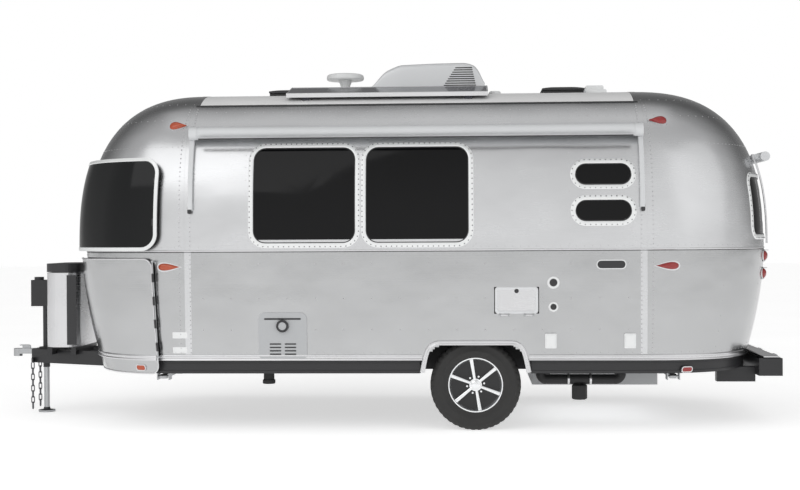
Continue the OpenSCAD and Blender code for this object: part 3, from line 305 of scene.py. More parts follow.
class Field:
    """A shader socket with arithmetic."""
    def __init__(self, tree, socket):
        self.tree, self.socket = tree, socket
    def node(self, kind, settings=None, out=0, **values):
        """Any other node: its settings first, then socket values or links by name."""
        made = self.tree.nodes.new(kind)
        for key, value in (settings or {}).items():
            setattr(made, key, value)
        for key, value in values.items():
            name = key.replace("_", " ")
            feed(self.tree, made.inputs[int(key[1:])] if key[1:].isdigit() else made.inputs[name], value)
        return Field(self.tree, made.outputs[out])
    def math(self, operation, other=0.0, swap=False, clamp=False):
        a, b = (other, self) if swap else (self, other)
        return self.node("ShaderNodeMath", {"operation": operation, "use_clamp": clamp}, s0=a, s1=b)
    def __add__(self, o): return self.math("ADD", o)
    def __radd__(self, o): return self.math("ADD", o, True)
    def __sub__(self, o): return self.math("SUBTRACT", o)
    def __rsub__(self, o): return self.math("SUBTRACT", o, True)
    def __mul__(self, o): return self.math("MULTIPLY", o)
    def __rmul__(self, o): return self.math("MULTIPLY", o, True)
    def __truediv__(self, o): return self.math("DIVIDE", o)
    def __rtruediv__(self, o): return self.math("DIVIDE", o, True)
    def __pow__(self, o): return self.math("POWER", o)
    def __rpow__(self, o): return self.math("POWER", o, True)
    def clamp(self): return self.math("ADD", 0.0, clamp=True)
    def scaled(self, sx, sy, sz):
        """The position times a vector, which stretches noise along an axis."""
        return self.node("ShaderNodeVectorMath", {"operation": "MULTIPLY"}, s0=self, s1=(sx, sy, sz))
    def noise(self, scale, detail=3.0):
        return self.node("ShaderNodeTexNoise", Vector=self, Scale=scale, Detail=detail)
    def ramp(self, dark, light):
        """A mix of two colours, by this field as the factor."""
        return self.node("ShaderNodeMix", {"data_type": "RGBA"}, 2, s0=self, s6=(*dark, 1), s7=(*light, 1))
    def bump(self, strength, distance):
        return self.node("ShaderNodeBump", Height=self, Strength=strength, Distance=distance)

def finish_of(name, recipe, **constants):
    """A material: constants on the shader's own sockets, and a recipe for what varies."""
    made = bpy.data.materials.new(name)
    made.use_nodes = True
    shader = next(n for n in made.node_tree.nodes if n.type == "BSDF_PRINCIPLED")
    for key, value in constants.items():
        shader.inputs[key.replace("_", " ")].default_value = value
    tree = made.node_tree
    place = Field(tree, tree.nodes.new("ShaderNodeTexCoord").outputs["Object"])
    for key, value in recipe(place).items():
        feed(tree, shader.inputs[key], value)
    return made

print("shader fields ready")

# %% [markdown]
# ## Finishes
# The coach sheet is rolled aluminium with a clear coat. It mirrors softly, shows faint rolling
# lines along its length, and is never quite flat between ribs, so a long low wave bends its
# reflections. Paint, plastic and rubber differ mostly in roughness and in how dust dulls them.

# %% Metal finishes
def sheet_metal(light, rough, wave=0.35):
    """Rolled sheet: fine lines along X, slow clouds in its colour, and shallow dents."""
    def recipe(p):
        rolled = p.scaled(2.0, 2.0, 160.0).noise(1.0, 2.0)
        cloud = p.scaled(1.0, 1.0, 1.6).noise(1.7, 3.0)
        dents = p.scaled(1.0, 1.0, 1.4).noise(2.4, 1.5)
        dull = [c * 0.80 for c in light]
        return {"Base Color": cloud.ramp(dull, light), "Roughness": rough + 0.08 * cloud + 0.03 * rolled,
            "Normal": (dents + 0.012 * rolled).bump(wave, 0.02)}
    return recipe

aluminium = finish_of("coach_aluminium", sheet_metal((0.68, 0.685, 0.695), 0.21), Metallic=1.0)
# A darker copy of the coach sheet for the faces below the belt: painted shade.
aluminium_shaded = finish_of("coach_aluminium_shaded", sheet_metal((0.52, 0.525, 0.53), 0.16, 0.7), Metallic=1.0)
trim_metal = finish_of("trim_aluminium", sheet_metal((0.72, 0.72, 0.73), 0.22, 0.05), Metallic=1.0)
rivet_metal = finish_of("rivet_aluminium", sheet_metal((0.62, 0.62, 0.63), 0.24, 0.05), Metallic=1.0)

def plain(colour, rough, spread=0.12, grain=60.0, wave=0.12, depth=0.002):
    """Paint or moulding: a colour that darkens a little in patches, and a fine grain."""
    def recipe(p):
        patch, fine = p.noise(3.0, 4.0), p.noise(grain, 3.0)
        dark = [c * (1 - spread) for c in colour]
        return {"Base Color": patch.ramp(dark, colour),
            "Roughness": rough + 0.12 * (patch - 0.5) + 0.06 * fine,
            "Normal": fine.bump(wave, depth)}
    return recipe

roof_paint = finish_of("roof_sheet", plain((0.88, 0.88, 0.88), 0.36, 0.05), Metallic=0.05)
black_steel = finish_of("black_steel", plain((0.022, 0.022, 0.024), 0.38, 0.3))
under_black = finish_of("under_black", plain((0.016, 0.016, 0.017), 0.6, 0.3, 120.0))
zinc = finish_of("zinc_steel", plain((0.50, 0.51, 0.52), 0.36, 0.2), Metallic=1.0)
chain_metal = finish_of("chain_steel", plain((0.20, 0.20, 0.21), 0.4, 0.3), Metallic=0.9)
white_gloss = finish_of("white_moulding", plain((0.80, 0.81, 0.81), 0.28, 0.04, 40.0, 0.04))
silver_shroud = finish_of("silver_moulding", plain((0.66, 0.67, 0.68), 0.3, 0.05, 40.0, 0.04), Metallic=0.35)
white_steel = finish_of("white_steel", plain((0.78, 0.78, 0.77), 0.3, 0.06))
grey_moulding = finish_of("grey_moulding", plain((0.46, 0.47, 0.48), 0.45, 0.08))
light_moulding = finish_of("light_moulding", plain((0.70, 0.71, 0.72), 0.35, 0.06), Metallic=0.3)
dark_moulding = finish_of("dark_moulding", plain((0.03, 0.03, 0.032), 0.42, 0.25))
frame_paint = finish_of("window_trim", plain((0.82, 0.83, 0.83), 0.32, 0.05), Metallic=0.25)
smoked = finish_of("smoked_guard", plain((0.006, 0.0065, 0.007), 0.07, 0.2, 20.0, 0.01),
    Specular_IOR_Level=0.25)
glass_dark = finish_of("tinted_glass", plain((0.003, 0.003, 0.0035), 0.05, 0.3, 12.0, 0.01),
    Specular_IOR_Level=0.2)
solar_cells = finish_of("solar_cells", plain((0.012, 0.014, 0.03), 0.12, 0.3, 30.0, 0.02))
amber = finish_of("amber_lens", plain((0.46, 0.060, 0.010), 0.16, 0.15, 300.0, 0.3), Coat_Weight=0.6)
ruby = finish_of("red_lens", plain((0.30, 0.008, 0.008), 0.16, 0.2, 300.0, 0.3), Coat_Weight=0.6)
wheel_metal = finish_of("wheel_alloy", plain((0.86, 0.87, 0.88), 0.2, 0.06, 200.0, 0.03), Metallic=1.0)
wheel_black = finish_of("wheel_pocket", plain((0.012, 0.012, 0.013), 0.3, 0.3))

def cloth(p):
    """Woven stripes: two crossed fine waves and a slow fade."""
    weave = p.scaled(1.0, 900.0, 900.0).noise(1.0, 1.0)
    fade = p.noise(1.2, 3.0)
    return {"Base Color": fade.ramp((0.60, 0.61, 0.62), (0.70, 0.71, 0.72)), "Roughness": 0.55 + 0.2 * weave,
        "Normal": weave.bump(0.3, 0.001)}

awning_cloth = finish_of("awning_cloth", cloth, Metallic=0.25)

def tread_rubber(p):
    """Dusty rubber, paler where scuffed."""
    scuff, fine = p.noise(9.0, 5.0), p.noise(220.0, 2.0)
    return {"Base Color": scuff.ramp((0.014, 0.014, 0.014), (0.034, 0.033, 0.032)),
        "Roughness": 0.62 + 0.2 * scuff,
        "Normal": fine.bump(0.25, 0.001)}

rubber = finish_of("tyre_rubber", tread_rubber)
print("finishes:", len(bpy.data.materials))

# %% [markdown]
# Every plain solid that stays in view takes a finish before anything is added.

# %% Dress the solids that stay
for finish, names in {
    under_black: "floor_pan wheel_wells roof_vents waste_pipes",
    black_steel: "tongue_frame axle rear_bumper jack_tube entry_step",
    zinc: "coupler jack_leg stabiliser_mounts stabiliser_front_left stabiliser_front_right "
        "stabiliser_rear_left stabiliser_rear_right hinge_pins",
    chain_metal: "safety_chains", white_steel: "gas_bottles",
    dark_moulding: "vent_lid_front vent_lid_rear gas_cover_lid",
    trim_metal: "gas_cover bumper_lid baggage_hatch",
    aluminium: "side_wall_left side_wall_right front_end_upper "
        "front_end_lower rear_end_upper rear_end_lower entry_door stone_guard_left stone_guard_right",
    roof_paint: "roof_panel", glass_dark: "window_glass door_window", frame_paint: "window_frames",
    smoked: "window_guard", awning_cloth: "awning_left awning_right awning_rear",
    white_gloss: "air_conditioner roof_fittings side_fittings", solar_cells: "solar_panels",
    grey_moulding: "heater_panel waste_tank", amber: "marker_lamps", ruby: "tail_lamps",
    rubber: "tyre_left tyre_right", wheel_metal: "rim_left rim_right"}.items():
    for name in names.split():
        nodes[name].data.materials.clear()
        nodes[name].data.materials.append(finish)
print("dressed", len(nodes), "solids")

# %% [markdown]
# ## The side walls
# A wall is one sheet from seam to seam, as thick as the real sandwich of skin, ribs and
# lining. Openings are cut by cells of the grid: a cell goes when its middle is inside the rounded
# outline. At the windows a frame laps the stepped edge and hides it; at the door nothing does.

# %% Side walls
def inside(x, z, w, grow=0.0):
    """Signed distance test for a rounded rectangle: |q - corner box| <= r."""
    x0, x1, z0, z1, r = w
    dx = np.abs(x - (x0 + x1) / 2) - ((x1 - x0) / 2 - r)
    dz = np.abs(z - (z0 + z1) / 2) - ((z1 - z0) / 2 - r)
    far = np.hypot(np.clip(dx, 0, None), np.clip(dz, 0, None)) + np.minimum(np.maximum(dx, dz), 0)
    return far <= r + grow

pill = (REAR - 0.517, REAR - 0.092)
windows = {-1: [(FRONT + 0.508, FRONT + 1.293, 1.442, 2.175, 0.095),
    (FRONT + 1.372, FRONT + 2.157, 1.442, 2.175, 0.095),
    (*pill, 1.873, 2.035, 0.08), (*pill, 1.597, 1.759, 0.08)],
    1: [(FRONT + 0.110, FRONT + 0.730, 1.442, 2.175, 0.095),
    (FRONT + 1.793, FRONT + 2.578, 1.442, 2.175, 0.095), (REAR - 0.640, REAR - 0.120, 1.700, 2.175, 0.095)]}
door = (FRONT + 0.873, FRONT + 1.533, 0.600, 2.290, 0.09)
hatch = (FRONT + 2.351, FRONT + 2.678, 0.899, 1.104, 0.026)
axle_x = FRONT + 2.202
edge_angle = np.arcsin(((EDGE - BELT) / (RIDGE - BELT)) ** (SECTION / 2))
upper_rows = share(BELT + (RIDGE - BELT) * np.sin(np.linspace(0, edge_angle, 76)) ** (2 / SECTION))
wall_rows = np.concatenate([np.linspace(SILL - BELT, 0, 51)[:-1], upper_rows])
wall_xs = np.linspace(FRONT, REAR, 216)

def wall_sheet(side, x, rows, cuts, deep, out=0.0):
    """The wall's outer and inner grids, with cells left out where a cut says so."""
    xm, rm = (x[1:] + x[:-1]) / 2, (rows[1:] + rows[:-1]) / 2
    X, Z = np.meshgrid(xm, height(rm))
    keep = ~np.any([c(X, Z) for c in cuts], 0) if cuts else None
    outer, inner = wall(x[None], rows[:, None], side, out), wall(x[None], rows[:, None], side, out - deep)
    return panel(outer, inner, keep)

def arch_outline(X, Z, grow=0.0):
    """Inside the wheel arch: a flat top with raked, softened shoulders."""
    dx = np.abs(X - axle_x)
    rake = np.clip(Z - 0.50, 0, None) * 0.55 + np.clip(Z - 0.60, 0, None) * 0.9
    return (Z < 0.661 + grow) & (dx < 0.418 + grow - rake)

SIDES = ((-1, "left"), (1, "right"))
for side, name in SIDES:
    holes = windows[side] + [hatch if side < 0 else door]
    cuts = [lambda X, Z, w=w: inside(X, Z, w, 0.006) for w in holes] + [arch_outline]
    v, q = wall_sheet(side, wall_xs, wall_rows, cuts, THICK)
    skin = add_piece(f"wall_{name}_skin", v, q, aluminium, stands_for=[f"side_wall_{name}"],
        slot="polished_aluminium")
    # Faces below the belt take the darker copy of the sheet: painted shade.
    skin.data.materials.append(aluminium_shaded)
    centre = np.array([p.center[2] for p in skin.data.polygons])
    skin.data.polygons.foreach_set("material_index", (centre < BELT).astype(np.int32))
print("walls", len(skin.data.polygons), "faces each")

# %% [markdown]
# ## Rounded ends and roof
# Each end is stretched from many narrow gores on the real coach, and the gores blend into one
# smooth bowl. Here the bowl is one grid over the plan angle and the height, cut by its windows.

# %% Ends and roof
cap_windows = {-1: [(15, 48), (54, 126), (132, 165)], 1: [(51, 129)]}
CAP_LOW, CAP_HIGH, ARC = 1.490, 1.940, 1.15

def end_window(end, k):
    """An end window as a rounded rectangle over (arc length, height)."""
    a0, a1 = np.radians(cap_windows[end][k])
    return (a0 * ARC, a1 * ARC, CAP_LOW, CAP_HIGH, 0.07)

angles = np.linspace(0, math.pi, 145)
full_rows = share(BELT + (RIDGE - BELT) * np.sin(np.linspace(0, math.pi / 2, 100)) ** (2 / SECTION))
low_rows = np.linspace(SILL - BELT, 0, 46)

def cap_sheet(end, a, rows, cuts, deep, out=0.0):
    """An end's outer and inner grids over plan angles and rows, less its cuts."""
    am, rm = (a[1:] + a[:-1]) / 2, (rows[1:] + rows[:-1]) / 2
    A, Z = np.meshgrid(am * ARC, height(rm))
    keep = ~np.any([c(A, Z) for c in cuts], 0) if cuts else None
    v, q = panel(cap(a[None], rows[:, None], end, out), cap(a[None], rows[:, None], end, out - deep), keep)
    n, m = len(v) // 2, len(a)
    if rows[-1] >= 1:
        index = np.arange(2 * n)
        index[n - m:n], index[2 * n - m:] = n - m, 2 * n - m
        q = index[q]
    return v, q

for end, name in [(-1, "front"), (1, "rear")]:
    cuts = [lambda A, Z, w=end_window(end, k): inside(A, Z, w, 0.006) for k in range(len(cap_windows[end]))]
    add_piece(f"{name}_bowl_upper", *cap_sheet(end, angles, full_rows, cuts, THICK), aluminium,
        stands_for=[f"{name}_end_upper"], slot="polished_aluminium")
    # The lower bowls take the darker copy of the sheet: painted shade.
    add_piece(f"{name}_bowl_lower", *cap_sheet(end, angles, low_rows, None, THICK), aluminium_shaded,
        stands_for=[f"{name}_end_lower"], slot="polished_aluminium")

def roof_z(y, out=0.0):
    """z = belt + (ridge + out - belt) swell(|y| / (W + out))."""
    return BELT + (RIDGE + out - BELT) * swell(np.abs(y) / (HALF + out), SECTION)

edge_y = {0.0: half(EDGE), 1.0: half(EDGE, -THICK)}
across = np.sin(np.linspace(-math.pi / 2, math.pi / 2, 61))
roof_xs = np.linspace(FRONT, REAR, 60)

def roof_grid(out, side_y):
    y = across * side_y
    return np.stack(np.broadcast_arrays(roof_xs[None], y[:, None], roof_z(y, out)[:, None]), -1)

add_piece("roof_skin", *panel(roof_grid(0.0, edge_y[0.0]), roof_grid(-THICK, edge_y[1.0])), roof_paint,
    stands_for=["roof_panel"], slot="roof_sheet")
print("ends and roof made")

# %% [markdown]
# ## Trims that follow the skin
# A trim is a profile carried along a path that lies on the skin. The direction away from the
# skin comes from the same formula evaluated a little further out.

# %% Laying a path on the skin
def on_wall(side):
    """A side wall as a surface: (x, z, out) gives points."""
    return lambda x, z, out: wall(x, share(z), side, out)

def on_cap(end):
    """An end as a surface: (s, z, out) gives points, where s = angle ARC is about an arc length."""
    return lambda s, z, out: cap(s / ARC, share(z), end, out)

def on_arc(angle, side):
    """A plan angle counted from one side of an end, as arc length."""
    return (angle if side > 0 else math.pi - angle) * ARC

def lay(surface, u, z, out=0.0):
    """Points at a distance outside the skin, and the directions away from it."""
    u, z = np.asarray(u, float), np.asarray(z, float)
    p = surface(u, z, out)
    return p, unit(surface(u, z, out + 0.02) - p)

def on_skin(surface, u, z, out=0.0):
    """One point on a surface and the direction away from it."""
    p, n = lay(surface, [u], [z], out)
    return p[0], n[0]

def strip(width, thick, base=-0.0008):
    """A flat bar's section with softened edges."""
    e = min(thick * 0.5, width * 0.3)
    return [(-width / 2, base), (width / 2, base), (width / 2, thick - e), (width / 2 - e, thick),
        (-width / 2 + e, thick), (-width / 2, thick - e)]

def girdle(z, out, xa, xb, end):
    """A path at one height from x = xa on the street side round an end to x = xb on the door side."""
    a = np.linspace(math.pi, 0, 121)
    n = 40
    street = wall(np.linspace(xa, SEAM[end], n)[:-1], share(z), -1, out)
    bowl = cap(a, share(z), end, out)
    other = wall(np.linspace(SEAM[end], xb, n)[1:], share(z), 1, out)
    return np.concatenate([street, bowl, other])

def girdle_trim(z, profile, xa, xb, end, out=0.0):
    """A profile swept along a girdle, standing away from the skin."""
    p, q = girdle(z, out, xa, xb, end), girdle(z, out + 0.02, xa, xb, end)
    return sweep(p, unit(q - p), profile)

ARCH_A, ARCH_B = axle_x - 0.405, axle_x + 0.405
rail_profile = [(0.0215, -0.001), (0.0215, 0.010), (0.017, 0.0125), (0.011, 0.0105), (0.008, 0.006),
    (-0.004, 0.006), (-0.008, 0.0095), (-0.015, 0.0125), (-0.0215, 0.009), (-0.0215, -0.001)]
channel = [(0.051, 0), (0.051, 0.006), (0.03, 0.007), (0.028, 0.003), (-0.028, 0.003), (-0.03, 0.007),
    (-0.051, 0.006), (-0.051, 0)]

def round_both(z, profile, street, kerb):
    """A trim round each end, between an x on the street side and one on the door side."""
    return join([girdle_trim(z, profile, street[k], kerb[k], end) for k, end in enumerate((-1, 1))])

arch_edges = (ARCH_A, ARCH_B)
add_piece("lower_rail", *round_both(0.5665, rail_profile, arch_edges, arch_edges), trim_metal)
mid_x = (FRONT + REAR) / 2
door_gap = (door[0] - 0.02, door[1] + 0.02)
belt = round_both(BELT - 0.004, strip(0.013, 0.005), (mid_x, mid_x), door_gap)
add_piece("belt_trim", *belt, trim_metal)
belt_line = round_both(BELT - 0.014, strip(0.005, 0.0016), (mid_x, mid_x), door_gap)
add_piece("belt_shadow_line", *belt_line, dark_moulding)
skirts = []
for end, stop in [(-1, axle_x - 0.424), (1, axle_x + 0.424)]:
    p = girdle(SILL, -0.026, stop, stop, end)
    p[:, 2] = 0.494
    outward = girdle(SILL, 0.0, stop, stop, end) * [1, 1, 0] - p * [1, 1, 0] + [0, 0, 1e-9]
    skirts.append(sweep(p, unit(outward), channel))
add_piece("skirt_channel", *join(skirts), black_steel)

section_angle = np.linspace(0, math.pi / 2, 60)
section_z = BELT + (RIDGE - BELT) * np.sin(section_angle) ** (2 / SECTION)
section_path_z = np.concatenate([np.linspace(0.592, BELT, 20)[:-1], section_z[:-1]])

def hoop(x, out=0.0):
    """The whole section at one x, up one side and down the other."""
    left = np.column_stack([np.full(len(section_path_z), x), -half(section_path_z, out),
        height(share(section_path_z), out)])
    top = np.array([[x, 0, RIDGE + out]])
    return np.concatenate([left, top, left[::-1] * [1, -1, 1]])

def hoop_trim(x, profile, out=0.0):
    """A profile swept along a hoop, standing away from the skin."""
    p, q = hoop(x, out), hoop(x, out + 0.02)
    return sweep(p, unit(q - p), profile)

add_piece("seam_straps", *join([hoop_trim(x, strip(0.052, 0.0014)) for x in (FRONT + 0.004, REAR - 0.004)]),
    aluminium)
roof_edge_trim = []
for side in (-1, 1):
    path = np.column_stack([roof_xs, np.full(60, side * (half(EDGE) + 0.002)), np.full(60, EDGE)])
    roof_edge_trim.append(sweep(path, [0, side * 0.55, 0.83], strip(0.02, 0.005)))
add_piece("roof_edge_trims", *join(roof_edge_trim), dark_moulding)

half_arch = np.array([(-0.405, 0.452), (-0.392, 0.52), (-0.380, 0.575), (-0.366, 0.618), (-0.343, 0.652),
    (-0.31, 0.672), (-0.27, 0.6785), (-0.1, 0.6785)])
arch = np.concatenate([half_arch, half_arch[::-1] * [-1, 1]])
t = np.linspace(0, 1, 90)
arch_s = np.concatenate([[0], np.cumsum(np.hypot(*np.diff(arch, axis=0).T))])
arch_fine = np.column_stack([np.interp(t * arch_s[-1], arch_s, arch[:, k]) for k in (0, 1)])
arch_profile = [(-0.018, -0.02), (0.018, -0.02), (0.018, 0.008), (0.012, 0.013), (0.004, 0.012),
    (0.0, 0.009), (-0.006, 0.009), (-0.012, 0.013), (-0.018, 0.008)]
arch_parts = [sweep(*lay(on_wall(side), axle_x + arch_fine[:, 0], arch_fine[:, 1]), arch_profile)
    for side in (-1, 1)]
add_piece("arch_trims", *join(arch_parts), trim_metal)
print("trims laid")

# %% [markdown]
# ## Windows
# Each window has dark glass a little inside the skin and a pale frame riveted over the edge.
# Glass is the outline shrunk towards its middle, so it closes at a point.

# %% Windows
def pane(surface, w, out, grow=-0.001, thick=0.006):
    """Rings from the outline to the middle, on two faces, joined at the edge."""
    loop = rounded(*w, grow=grow)
    mid = loop.mean(0)
    s = np.array([1, 0.93, 0.8, 0.6, 0.35, 0.0])
    rings = mid + (loop - mid) * s[:, None, None]
    faces = [surface(rings[..., 0], rings[..., 1], o) for o in (out, out - thick)]
    n, m = len(s), len(loop)
    v = np.concatenate([faces[0][::-1].reshape(-1, 3), faces[1].reshape(-1, 3)])
    q = grid_faces(2 * n, m, False, True)
    index = np.arange(2 * n * m)
    index[:m], index[-m:] = 0, 2 * n * m - 1
    return v, index[q]

def surround(surface, w, profile, grow=0.0, out=0.0, n=8, per=14):
    """A profile swept round the outline (x0, x1, z0, z1, radius) on a surface."""
    loop = rounded(*w, grow=grow, n=n, per=per)
    p, up = lay(surface, loop[:, 0], loop[:, 1], out)
    return sweep(p, up, profile, closed=True)

wide_frame = [(-0.018, -0.014), (0.018, -0.0008), (0.018, 0.003), (0.014, 0.0055), (0.004, 0.007),
    (-0.010, 0.007), (-0.016, 0.0055), (-0.020, 0.002), (-0.020, -0.014)]
gasket = [(-0.004, -0.012), (0.004, -0.012), (0.004, 0.003), (-0.004, 0.003)]
lip = [(-0.005, 0), (0.005, 0), (0.004, 0.009), (-0.003, 0.009)]
panes, frames, gaskets, large, small, frame_rivets = ([] for _ in range(6))

def rivet_row(rivets, surface, u, z, spacing, out=0.0, closed=False):
    """Evenly spaced rivets along a path on the skin."""
    u, z = np.broadcast_arrays(u, z)
    fine = surface(u, z, out)
    if closed:
        u, z, fine = np.append(u, u[0]), np.append(z, z[0]), np.concatenate([fine, fine[:1]])
    s = np.concatenate([[0], np.cumsum(np.linalg.norm(np.diff(fine, axis=0), axis=1))])
    at = np.linspace(0, s[-1], max(2, int(round(s[-1] / spacing)) + 1))[: -1 if closed else None]
    rivets.append(lay(surface, np.interp(at, s, u), np.interp(at, s, z), out))

all_windows = [(on_wall(s), w) for s in (-1, 1) for w in windows[s]]
all_windows += [(on_cap(e), end_window(e, k)) for e in (-1, 1) for k in range(len(cap_windows[e]))]
door_glass = (door[0] + 0.120, door[0] + 0.520, 1.500, 2.020, 0.07)
for surface, w in all_windows:
    panes.append(pane(surface, w, -0.003))
    frames.append(surround(surface, w, wide_frame, 0.018))
    gaskets.append(surround(surface, w, gasket, -0.0035))
    loop = rounded(*w, grow=0.026)
    rivet_row(frame_rivets, surface, loop[:, 0], loop[:, 1], 0.040, 0.0065, True)
add_piece("window_panes", *join(panes), glass_dark, stands_for=["window_glass"], slot="tinted_glass")
add_piece("window_surrounds", *join(frames), frame_paint, stands_for=["window_frames"], slot="window_trim")
add_piece("window_gaskets", *join(gaskets), dark_moulding)
add_piece("window_rivets", *studs(*map(np.concatenate, zip(*frame_rivets)), 0.0052, 0.0026), chain_metal)
print("windows:", len(all_windows))

# %% [markdown]
# ## Rivets
# The skin is held by thousands of small rivets. Double rows mark the seams where the ends meet
# the walls, single rows mark the frames behind the sheet, and a loose grid holds the lower
# sheets. Each is a low dome.

# %% Rivet rows
span_z = np.linspace(0.605, 2.50, 160)
span_x = np.linspace(FRONT + 0.03, REAR - 0.03, 80)
for side in (-1, 1):
    surface = on_wall(side)
    for x in (FRONT + 0.022, REAR - 0.022):
        rivet_row(large, surface, x, span_z, 0.036, 0.0014)
    for z, gap in ((BELT + 0.022, 0.060), (BELT - 0.034, 0.060), (0.603, 0.060), (2.415, 0.075),
        (2.472, 0.075)):
        rivet_row(small, surface, span_x, z, gap)
    for z in (1.285, 1.020, 0.780):
        rivet_row(large, surface, np.linspace(FRONT + 0.12, REAR - 0.12, 30), z, 0.215)
    for x in (FRONT + 0.45, FRONT + 2.21, REAR - 0.56):
        rivet_row(small, surface, x, np.linspace(1.43, 2.38, 60), 0.095)
for end in (-1, 1):
    surface = on_cap(end)
    round_end = np.linspace(0.02, math.pi - 0.02, 240) * ARC
    for z, gap in ((2.190, 0.045), (BELT + 0.024, 0.052), (BELT - 0.036, 0.052), (0.606, 0.060), (2.41, 0.07),
        (2.55, 0.07)):
        rivet_row(small, surface, round_end, z, gap)
    for s in (0.035, math.pi * ARC - 0.035):
        rivet_row(large, surface, s, span_z, 0.036)
    for k in range(1, 6):
        rivet_row(small, surface, (k * math.pi / 6) * ARC, np.linspace(0.64, 1.34, 80), 0.11)

def clear_of(rivets, tests):
    """Drops rivets that a test puts under a window, door, hatch, arch or trim."""
    p, n = map(np.concatenate, zip(*rivets))
    drop = np.zeros(len(p), bool)
    for test in tests:
        drop |= test(p)
    return p[~drop], n[~drop]

def in_wall(side, w, grow):
    """A test for points of one side wall that lie inside a rounded rectangle."""
    return lambda p: (p[:, 1] * side > 0.6) & (p[:, 0] > FRONT) & (p[:, 0] < REAR) & inside(p[:, 0],
        p[:, 2], w, grow)

heater = (FRONT + 0.545, FRONT + 0.918, 0.537, 0.912, 0.05)
blocked = [in_wall(s, w, 0.020) for s in (-1, 1) for w in windows[s]]
blocked += [in_wall(-1, hatch, 0.03), in_wall(1, door, 0.012), in_wall(-1, heater, 0.012),
    lambda p: arch_outline(p[:, 0], p[:, 2], 0.05) & (np.abs(p[:, 1]) > 1.0)]
big = clear_of(large, blocked)
little = clear_of(small, [lambda p: arch_outline(p[:, 0], p[:, 2], 0.05) & (np.abs(p[:, 1]) > 1.0),
    in_wall(1, door, 0.012), in_wall(-1, heater, 0.012), in_wall(-1, hatch, 0.01)]
    + [in_wall(s, w, 0.020) for s in (-1, 1) for w in windows[s]])
add_piece("rivets_large", *studs(*big, 0.0062, 0.0032), rivet_metal)
add_piece("rivets_small", *studs(*little, 0.0040, 0.0022, 6), rivet_metal)
print("rivets:", len(big[0]) + len(little[0]))

# %% [markdown]
# ## Guards at the front
# A smoked acrylic guard stands off the front windows and lifts on hinges at its top. Below the
# belt two polished stone guards wrap the corners, each with a beaded edge and a dark leading
# strip, and carry an amber lamp.

# %% Window guard
def rounded_cols(rows_z, z0, z1, s0, s1, r):
    """Each row's start and end so that the sheet's corners are rounded by radius r."""
    near = np.minimum(rows_z - z0, z1 - rows_z)
    back = np.where(near < r, r - np.sqrt(np.clip(r * r - (r - near) ** 2, 0, None)), 0)
    return s0 + back, s1 - back

def guard_sheet(end, z0, z1, s0, s1, r, out, thick, n_rows=44, n_cols=110):
    """A round-cornered sheet that stands off an end by a distance out."""
    t = (1 - np.cos(np.linspace(0, math.pi, n_rows))) / 2
    z = z0 + (z1 - z0) * t
    a, b = rounded_cols(z, z0, z1, s0, s1, r)
    u = np.linspace(0, 1, n_cols)
    s = a[:, None] + (b - a)[:, None] * u
    surface = on_cap(end)
    zz = np.broadcast_to(z[:, None], s.shape)
    return panel(surface(s, zz, out), surface(s, zz, out - thick))

g0, g1 = math.radians(8.6) * ARC, math.radians(171.4) * ARC
GZ0, GZ1, GOUT = 1.402, 2.062, 0.060
add_piece("guard_sheet", *guard_sheet(-1, GZ0, GZ1, g0, g1, 0.11, GOUT, 0.005), smoked, "window_guard",
    stands_for=["window_guard"], slot="guard_plastic")

bead = [(-0.013, -0.006), (0.013, -0.006), (0.015, 0.0), (0.012, 0.005), (-0.012, 0.005), (-0.015, 0.0)]
add_piece("guard_frame", *surround(on_cap(-1), (g0, g1, GZ0, GZ1, 0.11), bead, 0, GOUT, 26, 60),
    frame_paint, "window_guard")
seal = [(-0.012, -0.012), (0.012, -0.012), (0.012, 0.010), (-0.012, 0.010)]
inner = (g0 + 0.004, g1 - 0.004, GZ0 + 0.004, GZ1 - 0.004, 0.106)
add_piece("guard_seal", *surround(on_cap(-1), inner, seal, 0, GOUT - 0.018, 26, 60), dark_moulding,
    "window_guard")
hinge_x, hinge_z = -2.3756, 2.104
straps = []
for y in (-0.23, 0.23):
    straps.append(tube([(hinge_x, y - 0.044, hinge_z), (hinge_x, y + 0.044, hinge_z)], 0.008, 20))
    top = cap(cap_angle(y, 2.05), share(2.045), -1, GOUT + 0.001)
    straps.append(box((min(top[0], hinge_x) - 0.004, y - 0.04, 2.045), (hinge_x + 0.004, y + 0.04, 2.100),
        0.003))
add_piece("guard_hinge_straps", *join(straps), trim_metal, "window_guard")
latches = []
for s in (g0 + 0.012, g1 - 0.012):
    for z in (1.60, 1.90):
        c, n = lay(on_cap(-1), s, z, GOUT - 0.012)
        latches.append(box(c - [0.016, 0.012, 0.03], c + [0.016, 0.012, 0.03], 0.004))
add_piece("guard_latches", *join(latches), dark_moulding, "window_guard")

